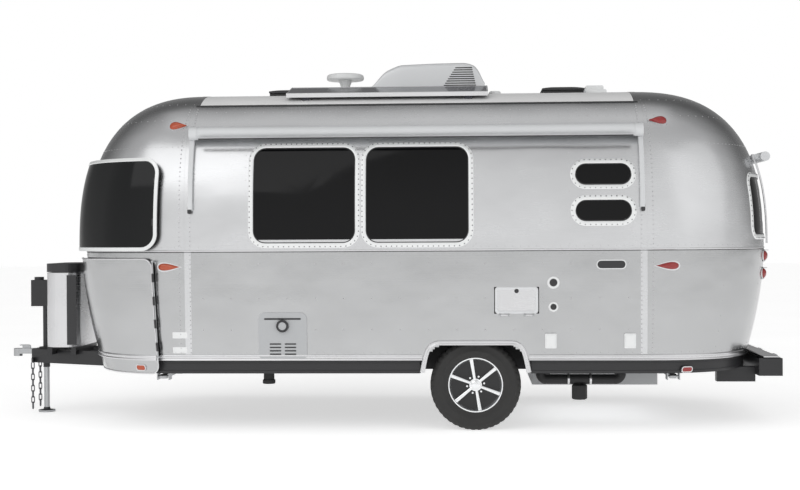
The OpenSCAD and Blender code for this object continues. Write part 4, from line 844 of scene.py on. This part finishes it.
# %% Stone guards
SZ0, SZ1 = 0.446, 1.326
for side, name in SIDES:
    body = f"stone_guard_{name}"
    s_hinge, s_lamp, s_lead, s_tip = (on_arc(math.radians(deg), side) for deg in (10.5, 19.5, 64, 73.5))
    surface = on_cap(-1)
    n_rows, n_cols = 40, 60
    z = SZ0 + (SZ1 - SZ0) * (1 - np.cos(np.linspace(0, math.pi, n_rows))) / 2
    near = np.minimum(z - SZ0, SZ1 - z)
    back = np.where(near < 0.07, 0.07 - np.sqrt(np.clip(0.07 ** 2 - (0.07 - near) ** 2, 0, None)), 0)
    rear = s_hinge + side * back
    u = np.linspace(0, 1, n_cols)
    s = rear[:, None] + (s_lead - rear)[:, None] * u
    zz = np.broadcast_to(z[:, None], s.shape)
    sheet = panel(surface(s, zz, 0.038), surface(s, zz, 0.034))
    # The stone guard sheets take the darker copy of the sheet too: painted shade.
    add_piece(f"stone_sheet_{name}", *sheet, aluminium_shaded, body, stands_for=[body],
        slot="polished_aluminium")
    strip_s = s_lead + (s_tip - s_lead) * u
    strip_zs = np.linspace(0.560, SZ1, 30)
    grid_s, grid_z = np.broadcast_arrays(strip_s[None], strip_zs[:, None])
    add_piece(f"stone_lead_{name}", *panel(surface(grid_s, grid_z, 0.037), surface(grid_s, grid_z, 0.031)),
        dark_moulding, body)
    path_s = np.concatenate([s[::-1, 0], s[0, 1:]])
    path_z = np.concatenate([z[::-1], np.full(n_cols - 1, SZ0)])
    top_s = np.concatenate([strip_s[::-1], s[-1, ::-1]])
    p1, u1 = lay(surface, np.concatenate([top_s, path_s[1:]]),
        np.concatenate([np.full(2 * n_cols, SZ1), path_z[1:]]), 0.037)
    a = np.linspace(0, 2 * math.pi, 10, endpoint=False)
    round_bead = np.column_stack([np.cos(a), np.sin(a)]) * 0.0065
    beads = [sweep(p1, u1, round_bead)]
    p2, u2 = lay(surface, np.full(40, s_tip), np.linspace(SZ1, 0.56, 40), 0.036)
    foot_s = np.linspace(on_arc(math.radians(10.8), side), s_tip, 80)
    p3, u3 = lay(surface, foot_s, np.full(80, 0.566), 0.040)
    foot_profile = [(0.019, 0), (0.019, 0.008), (0.012, 0.010), (0.004, 0.005), (-0.004, 0.005),
        (-0.012, 0.010), (-0.019, 0.008), (-0.019, 0)]
    beads += [sweep(p2, u2, round_bead), sweep(p3, u3, foot_profile)]
    add_piece(f"stone_beads_{name}", *join(beads), trim_metal, body)
    zr = np.linspace(0.62, 1.26, 30)
    rod = np.column_stack([SEAM[-1] - reach(zr, -1, 0.045) * math.sin(math.radians(10)) ** 0.8,
        side * half(zr, 0.045) * math.cos(math.radians(10)) ** 0.8, zr])
    knuckle = [tube(rod[i:i + 4], 0.0088, 16) for i in (0, 8, 16, 24)]
    add_piece(f"stone_knuckles_{name}", *join(knuckle), dark_moulding, body)
    lens = (s_lamp - 0.050, s_lamp + 0.050, 0.468, 0.510, 0.0205)
    add_piece(f"amber_oval_{name}", *pane(surface, lens, 0.045), amber, body)
    rim = (s_lamp - 0.052, s_lamp + 0.052, 0.468, 0.510, 0.0205)
    add_piece(f"amber_oval_rim_{name}", *surround(surface, rim, lip, 0, 0.038, 10, 12), trim_metal, body)
print("guards made")

# %% [markdown]
# ## Wheels
# The tyre is a ring section turned about the axle. Grooves run round the tread, and short cuts
# across its shoulders are dents that depend on the angle. The alloy has six thin machined
# spokes over black pockets, a bright outer ring, a cap, and nuts between the spokes.

# %% Wheels
tyre_lo, tyre_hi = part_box("tyre_left")
AXLE_Z, TYRE_R = (tyre_lo[2] + tyre_hi[2]) / 2, (tyre_hi[2] - tyre_lo[2]) / 2
TYRE_W, TYRE_IN = tyre_hi[1] - tyre_lo[1], -tyre_hi[1]
RIM_R = (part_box("rim_left")[1][2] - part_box("rim_left")[0][2]) / 2

def tyre_section():
    """Half of the section from bead to crown, mirrored across the middle of the tread."""
    bead = [(RIM_R - 0.012, 0.018), (RIM_R - 0.001, 0.010), (RIM_R + 0.014, 0.008), (RIM_R + 0.018, 0.0055)]
    wall_part = [(RIM_R + 0.040, 0.002), (RIM_R + 0.043, 0.0005), (RIM_R + 0.050, 0.0005),
        (RIM_R + 0.053, 0.002), (TYRE_R - 0.060, 0.001), (TYRE_R - 0.044, 0.004),
        (TYRE_R - 0.041, 0.003), (TYRE_R - 0.032, 0.006),
        (TYRE_R - 0.020, 0.013), (TYRE_R - 0.010, 0.021), (TYRE_R - 0.005, 0.028)]
    crown = []
    for start in (0.040, 0.066, 0.090):
        crown += [(TYRE_R, start - 0.006), (TYRE_R, start), (TYRE_R - 0.007, start + 0.001),
            (TYRE_R - 0.007, start + 0.006)]
    half_section = np.array(bead + wall_part + crown + [(TYRE_R, 0.098)])
    other = half_section[::-1].copy()
    other[:, 1] = TYRE_W - other[:, 1]
    return np.concatenate([half_section, other])

def spoke(centre, side, deg):
    """A bar from cap to ring: its width grows with radius and its face is a shallow ridge."""
    t = np.linspace(0, 1, 16)[:, None]
    v = np.linspace(-1, 1, 7)[None, :]
    r = 0.030 + (0.200 - 0.030) * t
    w = (0.009 + 0.004 * t) * v
    face = 0.176 + 0.012 * t ** 2 + 0.003 * (1 - v ** 2)
    a = math.radians(deg)
    out = np.array([math.cos(a), 0, math.sin(a)])
    across = np.array([-math.sin(a), 0, math.cos(a)])
    flat = centre + r[..., None] * out + w[..., None] * across
    axis = np.array([0, side, 0.0])
    return panel(flat + face[..., None] * axis, flat + (face * 0 + 0.148)[..., None] * axis)

section = tyre_section()
turns = 264
step = np.arange(turns) % 6 < 2
shoulder = (section[:, 0] > TYRE_R - 0.022) & (np.minimum(section[:, 1], TYRE_W - section[:, 1]) < 0.042)
dents = 0.006 * step[:, None] * shoulder[None, :]
for side, name in SIDES:
    centre, axis, body = np.array([axle_x, side * TYRE_IN, AXLE_Z]), (0, side, 0), f"wheel_{name}"
    add_piece(f"tyre_tread_{name}", *lathe(section, centre, axis, turns, True, dents), rubber, body,
        stands_for=[f"tyre_{name}"], slot="tyre_rubber", sharp=40)
    ring = [(0.178, 0.020), (RIM_R - 0.002, 0.014), (RIM_R, 0.020), (0.198, 0.034), (0.190, 0.100),
        (0.196, 0.176), (RIM_R - 0.002, 0.186), (RIM_R, 0.192), (RIM_R - 0.004, 0.1965),
        (0.201, 0.1965), (0.1965, 0.190),
        (0.186, 0.172), (0.180, 0.100)]
    add_piece(f"wheel_ring_{name}", *lathe(ring, centre, axis, 128, True), wheel_metal, body,
        stands_for=[f"rim_{name}"], slot="wheel_alloy")
    dish = [(0, 0.152), (0.060, 0.152), (0.095, 0.146), (0.188, 0.158), (0.186, 0.120), (0.060, 0.060),
        (0.060, 0.030), (0, 0.030)]
    add_piece(f"wheel_pockets_{name}", *lathe(dish, centre, axis, 96), wheel_black, body)
    add_piece(f"wheel_spokes_{name}", *join([spoke(centre, side, 39.5 + 60 * k) for k in range(6)]),
        wheel_metal, body)
    cap_shape = [(0, 0.1925), (0.018, 0.1915), (0.030, 0.188), (0.037, 0.183), (0.038, 0.176), (0.048, 0.174),
        (0.049, 0.150), (0, 0.150)]
    add_piece(f"wheel_cap_{name}", *lathe(cap_shape, centre, axis, 64), wheel_metal, body)
    nuts = []
    for k in range(6):
        a = math.radians(69.5 + 60 * k)
        seat = centre + np.array([0.066 * math.cos(a), 0, 0.066 * math.sin(a)])
        nuts.append(lathe([(0, 0.172), (0.008, 0.171), (0.0105, 0.166), (0.0105, 0.150), (0, 0.150)],
            seat, axis, 6))
    add_piece(f"wheel_nuts_{name}", *join(nuts), wheel_metal, body, sharp=20)
print("wheels: radius", round(TYRE_R, 3), "width", round(TYRE_W, 3))

# %% [markdown]
# ## Lamps
# Marker lamps are teardrops that point at the seam, each a clear domed lens on a metal base.
# Tail lamps are round with a small visor over each. A lens is a dome laid over the skin: the
# outline shrinks towards its middle while it rises.

# %% Lamps
def dome_on(surface, u0, z0, loop, base, tall, rings=7):
    """P(t, k) = surface(c + cos k L(t)), raised by base + tall sin k: an outline closed into a dome."""
    k = np.linspace(0, math.pi / 2, rings)[:, None]
    shrink = np.concatenate([[[1.0]], np.cos(k)])
    lift = np.concatenate([[[-0.001]], base + tall * np.sin(k)])
    u = u0 + shrink * loop[None, :, 0]
    z = z0 + shrink * loop[None, :, 1]
    points = surface(u, z, np.broadcast_to(lift, u.shape))
    n = len(loop)
    index = np.arange(points.shape[0] * n).reshape(-1, n)
    index[-1] = index[-1, 0]
    quads = index.reshape(-1)[grid_faces(points.shape[0], n, False, True)]
    floor_row = np.arange(n)
    middle = len(points) * n
    under = surface(np.array([u0]), np.array([z0]), np.array([-0.001])).reshape(1, 3)
    fan = np.stack([np.roll(floor_row, -1), floor_row, np.full(n, middle), np.full(n, middle)], -1)
    return np.concatenate([points.reshape(-1, 3), under]), np.concatenate([quads, fan])

def teardrop(length, high, toward):
    """x = cos t, z = sin t sin(t/2)^1.3: blunt at one end and pointed at the other."""
    t = np.linspace(0, 2 * math.pi, 48, endpoint=False)
    x, z = np.cos(t), np.sin(t) * np.abs(np.sin(t / 2)) ** 1.3
    return np.column_stack([toward * x * length / 2, z * high / 2 / np.abs(z).max()])

def arc_at(dx, z, end, side):
    """Where on an end's skin a point lies that is dx from the seam, as arc length."""
    return on_arc(float(seam_angle(dx, z, end)), side)

markers = [(-1, 0.108, 2.357, amber, "amber"), (-1, 0.143, 1.265, amber, "amber"),
    (1, 0.132, 2.365, ruby, "red"), (1, 0.172, 1.259, ruby, "red")]
lens_parts, base_parts = {"amber": [], "red": []}, []
for end, dx, z, finish, tint in markers:
    for side in (-1, 1):
        s = arc_at(dx, z, end, side)
        toward = -side
        lens_parts[tint].append(dome_on(on_cap(end), s, z, teardrop(0.146, 0.056, toward), 0.007, 0.020))
        base_parts.append(dome_on(on_cap(end), s, z, teardrop(0.168, 0.074, toward), 0.006, 0.001, 3))
add_piece("marker_lenses_amber", *join(lens_parts["amber"]), amber, stands_for=["marker_lamps"],
    slot="amber_lens")
add_piece("marker_lenses_red", *join(lens_parts["red"]), ruby, slot="red_lens")
add_piece("marker_bases", *join(base_parts), trim_metal)
TAIL_Y = 0.545
lenses, rims, visors = [], [], []
for side in (-1, 1):
    for z in (1.322, 1.181):
        c, n = on_skin(on_cap(1), on_arc(float(cap_angle(TAIL_Y, z)), side), z)
        lenses.append(lathe([(0, 0.034), (0.020, 0.031), (0.034, 0.022), (0.039, 0.010), (0.039, 0.001),
            (0, 0.001)], c, n, 48))
        rims.append(lathe([(0.040, -0.004), (0.049, -0.004), (0.050, 0.008), (0.044, 0.013),
            (0.040, 0.012)], c, n, 48, True))
        visors.append(box(c + [0.002, -0.034, 0.040], c + [0.036, 0.034, 0.046], 0.002))
roof_lamp = dome_on(on_cap(1), math.pi / 2 * ARC, 2.600, teardrop(0.110, 0.036, 1), 0.006, 0.018)
add_piece("roof_lamp", *roof_lamp, ruby)
add_piece("tail_lenses", *join(lenses), ruby, stands_for=["tail_lamps"])
add_piece("tail_rims", *join(rims), trim_metal)
add_piece("tail_visors", *join(visors), trim_metal)
ovals, oval_rims = [], []
for side in (-1, 1):
    s = arc_at(0.323, 0.50, 1, side)
    ovals.append(pane(on_cap(1), (s - 0.048, s + 0.048, 0.452, 0.492, 0.0195), 0.012))
    tall_lip = [(-0.005, 0), (0.005, 0), (0.004, 0.011), (-0.003, 0.011)]
    rim = (s - 0.050, s + 0.050, 0.452, 0.492, 0.0195)
    oval_rims.append(surround(on_cap(1), rim, tall_lip, 0, 0.002, 10, 12))
add_piece("red_ovals", *join(ovals), ruby)
add_piece("red_oval_rims", *join(oval_rims), trim_metal)
print("lamps:", 2 * len(markers), "markers and", len(lenses), "tail lamps")

# %% [markdown]
# ## On the roof
# The cooler's shroud is one moulding: its side view is a long low nose, and each cross-section
# is a rounded box. Louvres let air out near its rear. Beside it stand the antenna on its flared
# stem, a two-step box and a small vent.

# %% Roof pieces
lo, hi = (np.array(c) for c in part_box("air_conditioner"))
LENGTH, TALL = hi[0] - lo[0], hi[2] - lo[2]
u = np.linspace(0, 1, 90)
side_view = np.interp(u, [0, 0.03, 0.12, 0.25, 0.55, 0.84, 0.93, 0.985, 1.0],
    [0.10, 0.26, 0.70, 0.94, 0.985, 1.0, 0.86, 0.36, 0.12])
side_view = np.convolve(np.pad(side_view, 3, mode="edge"), np.ones(7) / 7, "valid")
t = np.linspace(0, math.pi, 49)
across = np.sign(np.cos(t)) * np.abs(np.cos(t)) ** 0.12
upward = np.abs(np.sin(t)) ** 0.16
def shroud_section(shrink, drop):
    """P(u, t) = (x, W |cos t|^0.12, z0 + H(u) |sin t|^0.16), made smaller by shrink and drop."""
    y = (hi[1] - shrink) * across[None, :] * (1 - 0.06 * (1 - side_view[:, None]))
    z = lo[2] + 0.030 + (TALL - 0.030 - drop) * side_view[:, None] * upward[None, :]
    x = lo[0] + shrink + (LENGTH - 2 * shrink) * u[:, None] + 0 * y
    return np.stack([x, y + 0 * x, z], -1)

add_piece("cooler_shroud", *panel(shroud_section(0.0, 0.0), shroud_section(0.006, 0.006)), silver_shroud,
    stands_for=["air_conditioner"], slot="white_plastic")
add_piece("cooler_base", *box((lo[0] + 0.045, -0.30, lo[2] + 0.0005), (hi[0] - 0.050, 0.30, lo[2] + 0.075),
    0.006), dark_moulding)
slats = []
for side in (-1, 1):
    for k in range(9):
        z = lo[2] + 0.060 + 0.018 * k
        y = side * (hi[1] + 0.0015)
        slats.append(box((lo[0] + 0.60 + 0.012 * k, min(y, y - side * 0.008), z),
            (lo[0] + 0.865 - 0.004 * k, max(y, y - side * 0.008), z + 0.009), 0.001))
add_piece("cooler_louvres", *join(slats), dark_moulding)
roof_low = lo[2]
mast = np.array([FRONT + 1.113, 0, roof_low])
stem = [(0, 0.0005), (0.070, 0.0005), (0.068, 0.010), (0.046, 0.034), (0.036, 0.058), (0.035, 0.080),
    (0.042, 0.110), (0.058, 0.148), (0.150, 0.152), (0.157, 0.160), (0.158, 0.176), (0.154, 0.192),
    (0.140, 0.2005), (0, 0.202)]
add_piece("antenna_dish", *lathe(stem, mast, (0, 0, 1), 96), white_gloss, stands_for=["roof_fittings"])
vent_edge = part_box("vent_lid_rear")[1][0]
add_piece("roof_box", *join([box((vent_edge - 0.0285, -0.11, roof_low + 0.0005),
    (vent_edge + 0.172, 0.11, roof_low + 0.046), 0.010),
    box((vent_edge, -0.085, roof_low + 0.040), (vent_edge + 0.150, 0.085, roof_low + 0.080), 0.010)]),
    white_gloss)
vent_foot = np.array([REAR - 1.093, 0.200, roof_z(np.array([0.2]), 0.0).reshape(-1)[0]])
add_piece("roof_small_vent", *lathe([(0, 0.001), (0.046, 0.001), (0.046, 0.040), (0.052, 0.044),
    (0.052, 0.058), (0.040, 0.070), (0, 0.074)], vent_foot, (0, 0, 1), 48), white_gloss)
frame_bars = []
s_lo, s_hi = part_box("solar_panels")
PANEL_Y = (0.400, 0.740)
panel_z = roof_z(np.array(PANEL_Y)) + 0.034
slope = math.atan2(panel_z[1] - panel_z[0], PANEL_Y[1] - PANEL_Y[0])
for side in (-1, 1):
    up = np.array([0, side * -math.sin(slope), math.cos(slope)])
    corner = [np.array([x, side * y, z]) for y, z in zip(PANEL_Y, panel_z) for x in (s_lo[0], s_hi[0])]
    for a, b in ((0, 1), (2, 3), (0, 2), (1, 3)):
        frame_bars.append(sweep(np.linspace(corner[a], corner[b], 4), up, [(-0.006, -0.002), (0.006, -0.002),
            (0.006, 0.030), (0.003, 0.033), (-0.003, 0.033), (-0.006, 0.030)]))
add_piece("solar_frames", *join(frame_bars), trim_metal)
print("roof pieces made; small vent at z", round(float(vent_foot[2]), 3))

# %% [markdown]
# ## On the walls
# Hatch, heater panel, inlets and covers are small parts laid on the skin. The pill-shaped badge
# and the labels are blank. On the door side the door has a window frame, a handle and a rail.

# %% Wall pieces
street, kerb = on_wall(-1), on_wall(1)
HX0, HX1, _, HZ1 = heater[:4]
vents = [pane(street, (HX0 + 0.045, HX1 - 0.045, HZ1 - 0.055, HZ1 - 0.040, 0.006), 0.010)]
for row in range(4):
    for x in (HX0 + 0.085, HX0 + 0.200):
        vents.append(pane(street, (x, x + 0.090, 0.588 + 0.026 * row, 0.600 + 0.026 * row, 0.0055), 0.010))
add_piece("heater_slots", *join(vents), dark_moulding)
c, n = on_skin(street, (HX0 + HX1) / 2, 0.810, 0.008)
add_piece("heater_exhaust", *lathe([(0.030, -0.004), (0.046, -0.004), (0.048, 0.010), (0.046, 0.024),
    (0.034, 0.025), (0.030, 0.020)], c, n, 64, True), dark_moulding)
ring = [(-0.010, -0.0008), (0.010, -0.0008), (0.010, 0.002), (0.006, 0.005), (-0.006, 0.005), (-0.010, 0.002)]
hatch_w = (hatch[0] + 0.012, hatch[1] - 0.012, hatch[2] + 0.012, hatch[3] - 0.012, 0.022)
add_piece("hatch_border", *surround(street, hatch_w, ring, 0, 0.002), light_moulding, "baggage_hatch")
c, n = on_skin(street, (hatch[0] + hatch[1]) / 2, hatch[3] - 0.032, 0.002)
add_piece("hatch_latch", *lathe([(0, 0.010), (0.010, 0.010), (0.016, 0.006), (0.017, 0.0), (0, 0.0)],
    c, n, 40), dark_moulding, "baggage_hatch")
PX = axle_x + 0.590
white_parts, black_parts = [], []
for z, r, out in ((1.135, 0.047, 0.012), (0.951, 0.037, 0.008)):
    c, n = on_skin(street, PX, z)
    white_parts.append(lathe([(0, -0.002), (r, -0.002), (r, out * 0.6), (r - 0.004, out), (0, out)],
        c, n, 64))
    black_parts.append(lathe([(0, out * 0.5), (r * 0.62, out * 0.5), (r * 0.62, out + 0.003),
        (r * 0.5, out + 0.005), (0, out + 0.005)], c, n, 48))
for x in (axle_x + 0.569, REAR - 0.110):
    white_parts.append(pane(street, (x - 0.044, x + 0.044, 0.636, 0.750, 0.010), 0.018, thick=0.020))
    white_parts.append(pane(street, (x - 0.034, x + 0.034, 0.648, 0.738, 0.008), 0.023, thick=0.007))
add_piece("inlet_covers", *join(white_parts), white_gloss, stands_for=["side_fittings"])
add_piece("inlet_caps", *join(black_parts), dark_moulding)
badge = (REAR - 0.357, REAR - 0.141, 1.238, 1.302, 0.031)
add_piece("badge_field", *pane(street, badge, 0.004), dark_moulding)
edging = [(-0.004, -0.0008), (0.004, -0.0008), (0.003, 0.006), (-0.003, 0.006)]
add_piece("badge_border", *surround(street, badge, edging), white_gloss)
labels = [pane(on_cap(-1), (arc_at(0.070, z, -1, -1) - 0.045, arc_at(0.070, z, -1, -1) + 0.045, z,
    z + 0.050, 0.006), 0.0015, thick=0.002)
    for z in (0.600, 0.715)]
add_piece("blank_labels", *join(labels), white_gloss)
add_piece("door_window_frame", *surround(kerb, door_glass, wide_frame, 0.018), frame_paint, "entry_door")
c, n = on_skin(kerb, door[1] - 0.045, 1.255)
add_piece("door_handle", *join([box(c + [-0.020, -0.004, -0.090], c + [0.020, 0.012, 0.090], 0.004),
    box(c + [-0.009, 0.010, -0.055], c + [0.009, 0.022, 0.055], 0.004)]), dark_moulding, "entry_door")
rail_x = door[1] + 0.083
tops = [on_skin(kerb, rail_x, z, 0.0)[0] for z in (1.200, 1.600)]
t = np.linspace(0, 1, 30)[:, None]
bow = (np.array(tops[0]) * (1 - t) + np.array(tops[1]) * t
    + np.array([0, 0.042, 0]) * np.sin(math.pi * t) ** 0.35)
add_piece("grab_rail", *tube(bow, 0.009, 16), trim_metal)
print("wall pieces made")

# %% [markdown]
# Under each side awning's roller a dark strip is painted shadow, which shows as a line under it,
# and each arm ends in a dark foot.

# %% Awning shade strips and feet
shade_strips_and_feet = []
for side, name in SIDES:
    a_lo, a_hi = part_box(f"awning_{name}")
    roller_z = a_hi[2] - 0.051
    outer = a_lo[1] if side < 0 else a_hi[1]
    y = (outer - side * 0.055, outer - side * 0.030)
    # A dark strip under the roller: painted shadow.
    shade_strips_and_feet.append(box((a_lo[0] + 0.080, min(y), roller_z - 0.0520),
        (a_hi[0] - 0.080, max(y), roller_z - 0.0440), 0.002))
    for x in (a_lo[0] + 0.012, a_hi[0] - 0.012):
        foot = on_skin(on_wall(side), x, a_lo[2] + 0.004, 0.020)[0]
        shade_strips_and_feet.append(box(foot - [0.014, 0.016, 0.030], foot + [0.014, 0.016, 0.022], 0.004))
add_piece("awning_shade_strips_and_feet", *join(shade_strips_and_feet), dark_moulding)
rear_arms = []
r_lo, r_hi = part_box("awning_rear")
for side in (-1, 1):
    arm_z = np.linspace(1.420, (r_lo[2] + r_hi[2]) / 2, 40)
    p, up = lay(on_cap(1), on_arc(cap_angle(0.505, arm_z), side), arm_z, 0.018)
    rear_arms.append(sweep(p, up, strip(0.022, 0.012)))
add_piece("rear_awning_arms", *join(rear_arms), trim_metal)
print("awning seals and rear arms made")

# %% [markdown]
# Waste leaves through a pipe under the street side. Its gate valve is a flat eight-sided body
# between two bright clamps, with elbows at the pipe's ends and a short drain further forward.

# %% Waste pipes
w_lo, w_hi = (np.array(c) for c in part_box("waste_pipes"))
PIPE_Y, PIPE_Z, PIPE_R = -0.900, 0.372, 0.038
pipe_x = (axle_x + 0.508, w_hi[0])
valve = np.array([axle_x + 0.807, PIPE_Y, 0])
bend = np.linspace(0, math.pi / 2, 10)[:, None]
elbows = [np.array([x, PIPE_Y, PIPE_Z])
    + 0.045 * np.concatenate([turn * np.sin(bend), 0 * bend, 1 - np.cos(bend)], 1)
    for x, turn in ((pipe_x[0] + 0.045, -1), (pipe_x[1] - 0.045, 1))]
pipes = [tube([(pipe_x[0] + 0.045, PIPE_Y, PIPE_Z), (pipe_x[1] - 0.045, PIPE_Y, PIPE_Z)], PIPE_R, 32)]
pipes += [tube(e, PIPE_R + 0.001, 32) for e in elbows]
pipes.append(lathe([(0, 0.216), (0.052, 0.216), (0.060, 0.224), (0.060, 0.322), (0.052, 0.332), (0, 0.332)],
    valve, (0, 0, 1), 8))
front_drain = np.array([w_lo[0] + 0.050, -0.880, 0])
pipes.append(lathe([(0, 0.336), (0.046, 0.336), (0.050, 0.342), (0.050, 0.366), (0.042, 0.370),
    (0.042, 0.441), (0, 0.441)], front_drain, (0, 0, 1), 40))
for x in (axle_x + 0.540, axle_x + 1.080):
    pipes.append(box((x, PIPE_Y - 0.020, PIPE_Z + 0.030), (x + 0.040, PIPE_Y + 0.020, 0.442), 0.003))
add_piece("waste_pipe_run", *join(pipes), under_black, stands_for=["waste_pipes"], slot="black_underbody",
    sharp=25)
clamps = [lathe([(PIPE_R, -0.008), (PIPE_R + 0.006, -0.008), (PIPE_R + 0.007, 0.0), (PIPE_R + 0.006, 0.008),
    (PIPE_R, 0.008)], (x, PIPE_Y, PIPE_Z), (1, 0, 0), 40, True) for x in (valve[0] - 0.085, valve[0] + 0.085)]
add_piece("waste_clamps", *join(clamps), trim_metal)
print("waste pipes made")

# %% [markdown]
# ## Ends, tongue and jack
# A dark plate slopes from the body down to the bumper. The gas cover is dark towards the body,
# where its black back is partly painted shadow, and on its lid. The jack stands on a dished foot.

# %% End pieces
BX0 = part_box("bumper_lid")[0][0]
rows, cols = np.linspace(0, 1, 10)[:, None], np.linspace(-1, 1, 24)[None, :]
px = (BX0 - 0.155) + 0.150 * rows + 0 * cols
py = 0.740 * cols * (1 - 0.03 * (1 - rows))
pz = 0.6 - 0.066 * rows ** 1.5 + 0 * cols
plate = np.stack([px, py + 0 * px, pz], -1)
add_piece("bumper_slope", *panel(plate, plate - [0, 0, 0.004]), black_steel)
gc_lo, gc_hi = (np.array(c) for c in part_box("gas_cover"))
# Dark plates at the body end of the gas cover: its black back, partly painted shadow of the open back.
sides = [box((gc_hi[0] - 0.085, side * gc_hi[1] - 0.0015, gc_lo[2] + 0.02),
    (gc_hi[0] - 0.004, side * gc_hi[1] + 0.0015, gc_hi[2] - 0.02), 0.0005)
    for side in (-1, 1)]
add_piece("gas_cover_black_and_shade", *join(sides), dark_moulding)
FOOT_R = 0.071
jack_mid = np.array([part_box("jack_leg")[1][0] - FOOT_R, 0, 0.0])
foot = [(0, 0.0005), (0.040, 0.0005), (FOOT_R, 0.002), (FOOT_R, 0.006), (0.050, 0.018), (0.030, 0.024),
    (0.026, 0.040), (0.0245, 0.040), (0.0245, 0.020), (0, 0.020)]
add_piece("jack_dish", *lathe(foot, jack_mid, (0, 0, 1), 64), dark_moulding, "jack_leg")
print("end pieces made")

# %% [markdown]
# ## Studio
# The floor is a pale plane that glows a little. Large dim lights stand to the sides and overhead,
# because polished metal looks like whatever faces it. The camera stands about eleven metres off
# the street side.

# %% Floor, light and camera
def studio_white(p):
    """Matt white with faint clouds."""
    cloud = p.noise(0.6, 2.0)
    return {"Base Color": cloud.ramp((0.86, 0.86, 0.86), (0.9, 0.9, 0.9)), "Roughness": 0.6 + 0.1 * cloud,
        "Emission Color": cloud.ramp((0.96, 0.96, 0.96), (1.0, 1.0, 1.0)), "Normal": cloud.bump(0.02, 0.01)}

floor_finish = finish_of("studio_floor", studio_white, Emission_Strength=0.58)
mesh = bpy.data.meshes.new("studio_floor")
mesh.from_pydata([(-60, -60, 0), (60, -60, 0), (60, 60, 0), (-60, 60, 0)], [], [(0, 1, 2, 3)])
mesh.materials.append(floor_finish)
floor = bpy.data.objects.new("studio_floor", mesh)
bpy.context.scene.collection.objects.link(floor)

world = bpy.context.scene.world or bpy.data.worlds.new("studio")
bpy.context.scene.world = world
world.use_nodes = True
sky = world.node_tree.nodes["Background"]
sky.inputs["Color"].default_value = (1.0, 1.0, 1.0, 1)
# The camera sees plain white. Metal mirrors a room that is bright to the street side, softer
# overhead, and dark behind and past the two ends, which draws the dark edges of the bowls.
view_dir = Field(world.node_tree, world.node_tree.nodes.new("ShaderNodeTexCoord").outputs["Generated"])
dx, dy, dz = (view_dir.node("ShaderNodeSeparateXYZ", out=k, Vector=view_dir) for k in range(3))
seen = Field(world.node_tree, world.node_tree.nodes.new("ShaderNodeLightPath").outputs["Is Camera Ray"])
room = 1.04 - 0.44 * dz.clamp() - 0.62 * (dy * 1.5).clamp() - 0.34 * dx * dx
feed(world.node_tree, sky.inputs["Strength"], seen + (1.0 - seen) * room)

def area_light(name, place, aim, size, power):
    """A rectangular light at a place, turned to face a point."""
    light = bpy.data.lights.new(name, "AREA")
    light.shape, light.size, light.size_y, light.energy = "RECTANGLE", size[0], size[1], power
    lamp = bpy.data.objects.new(name, light)
    lamp.location = place
    lamp.rotation_mode = "QUATERNION"
    lamp.rotation_quaternion = (Vector(aim) - Vector(place)).to_track_quat("-Z", "Y")
    bpy.context.scene.collection.objects.link(lamp)

area_light("key", (-5, -8, 7), (0, 0, 1.2), (9, 6), 150)
area_light("rear_side", (8, -6, 5), (1, 0, 1.4), (8, 7), 60)
area_light("overhead", (0, 0, 9), (0, 0, 0), (9, 5), 30)

camera = bpy.data.objects.new("camera", bpy.data.cameras.new("camera"))
camera.data.lens, camera.data.sensor_width = 60.975, 36.0
camera.location = (0.759, -11.495, 1.487)
camera.rotation_mode = "QUATERNION"
look = Vector((-0.0523, 0.9986, -0.00606)).to_track_quat("-Z", "Y")
camera.rotation_quaternion = look @ Quaternion((0, 0, 1), math.radians(-0.325))
camera.data.clip_end = 200
bpy.context.scene.collection.objects.link(camera)
bpy.context.scene.camera = camera
view = bpy.context.scene.view_settings
view.view_transform, view.look = "Standard", "None"
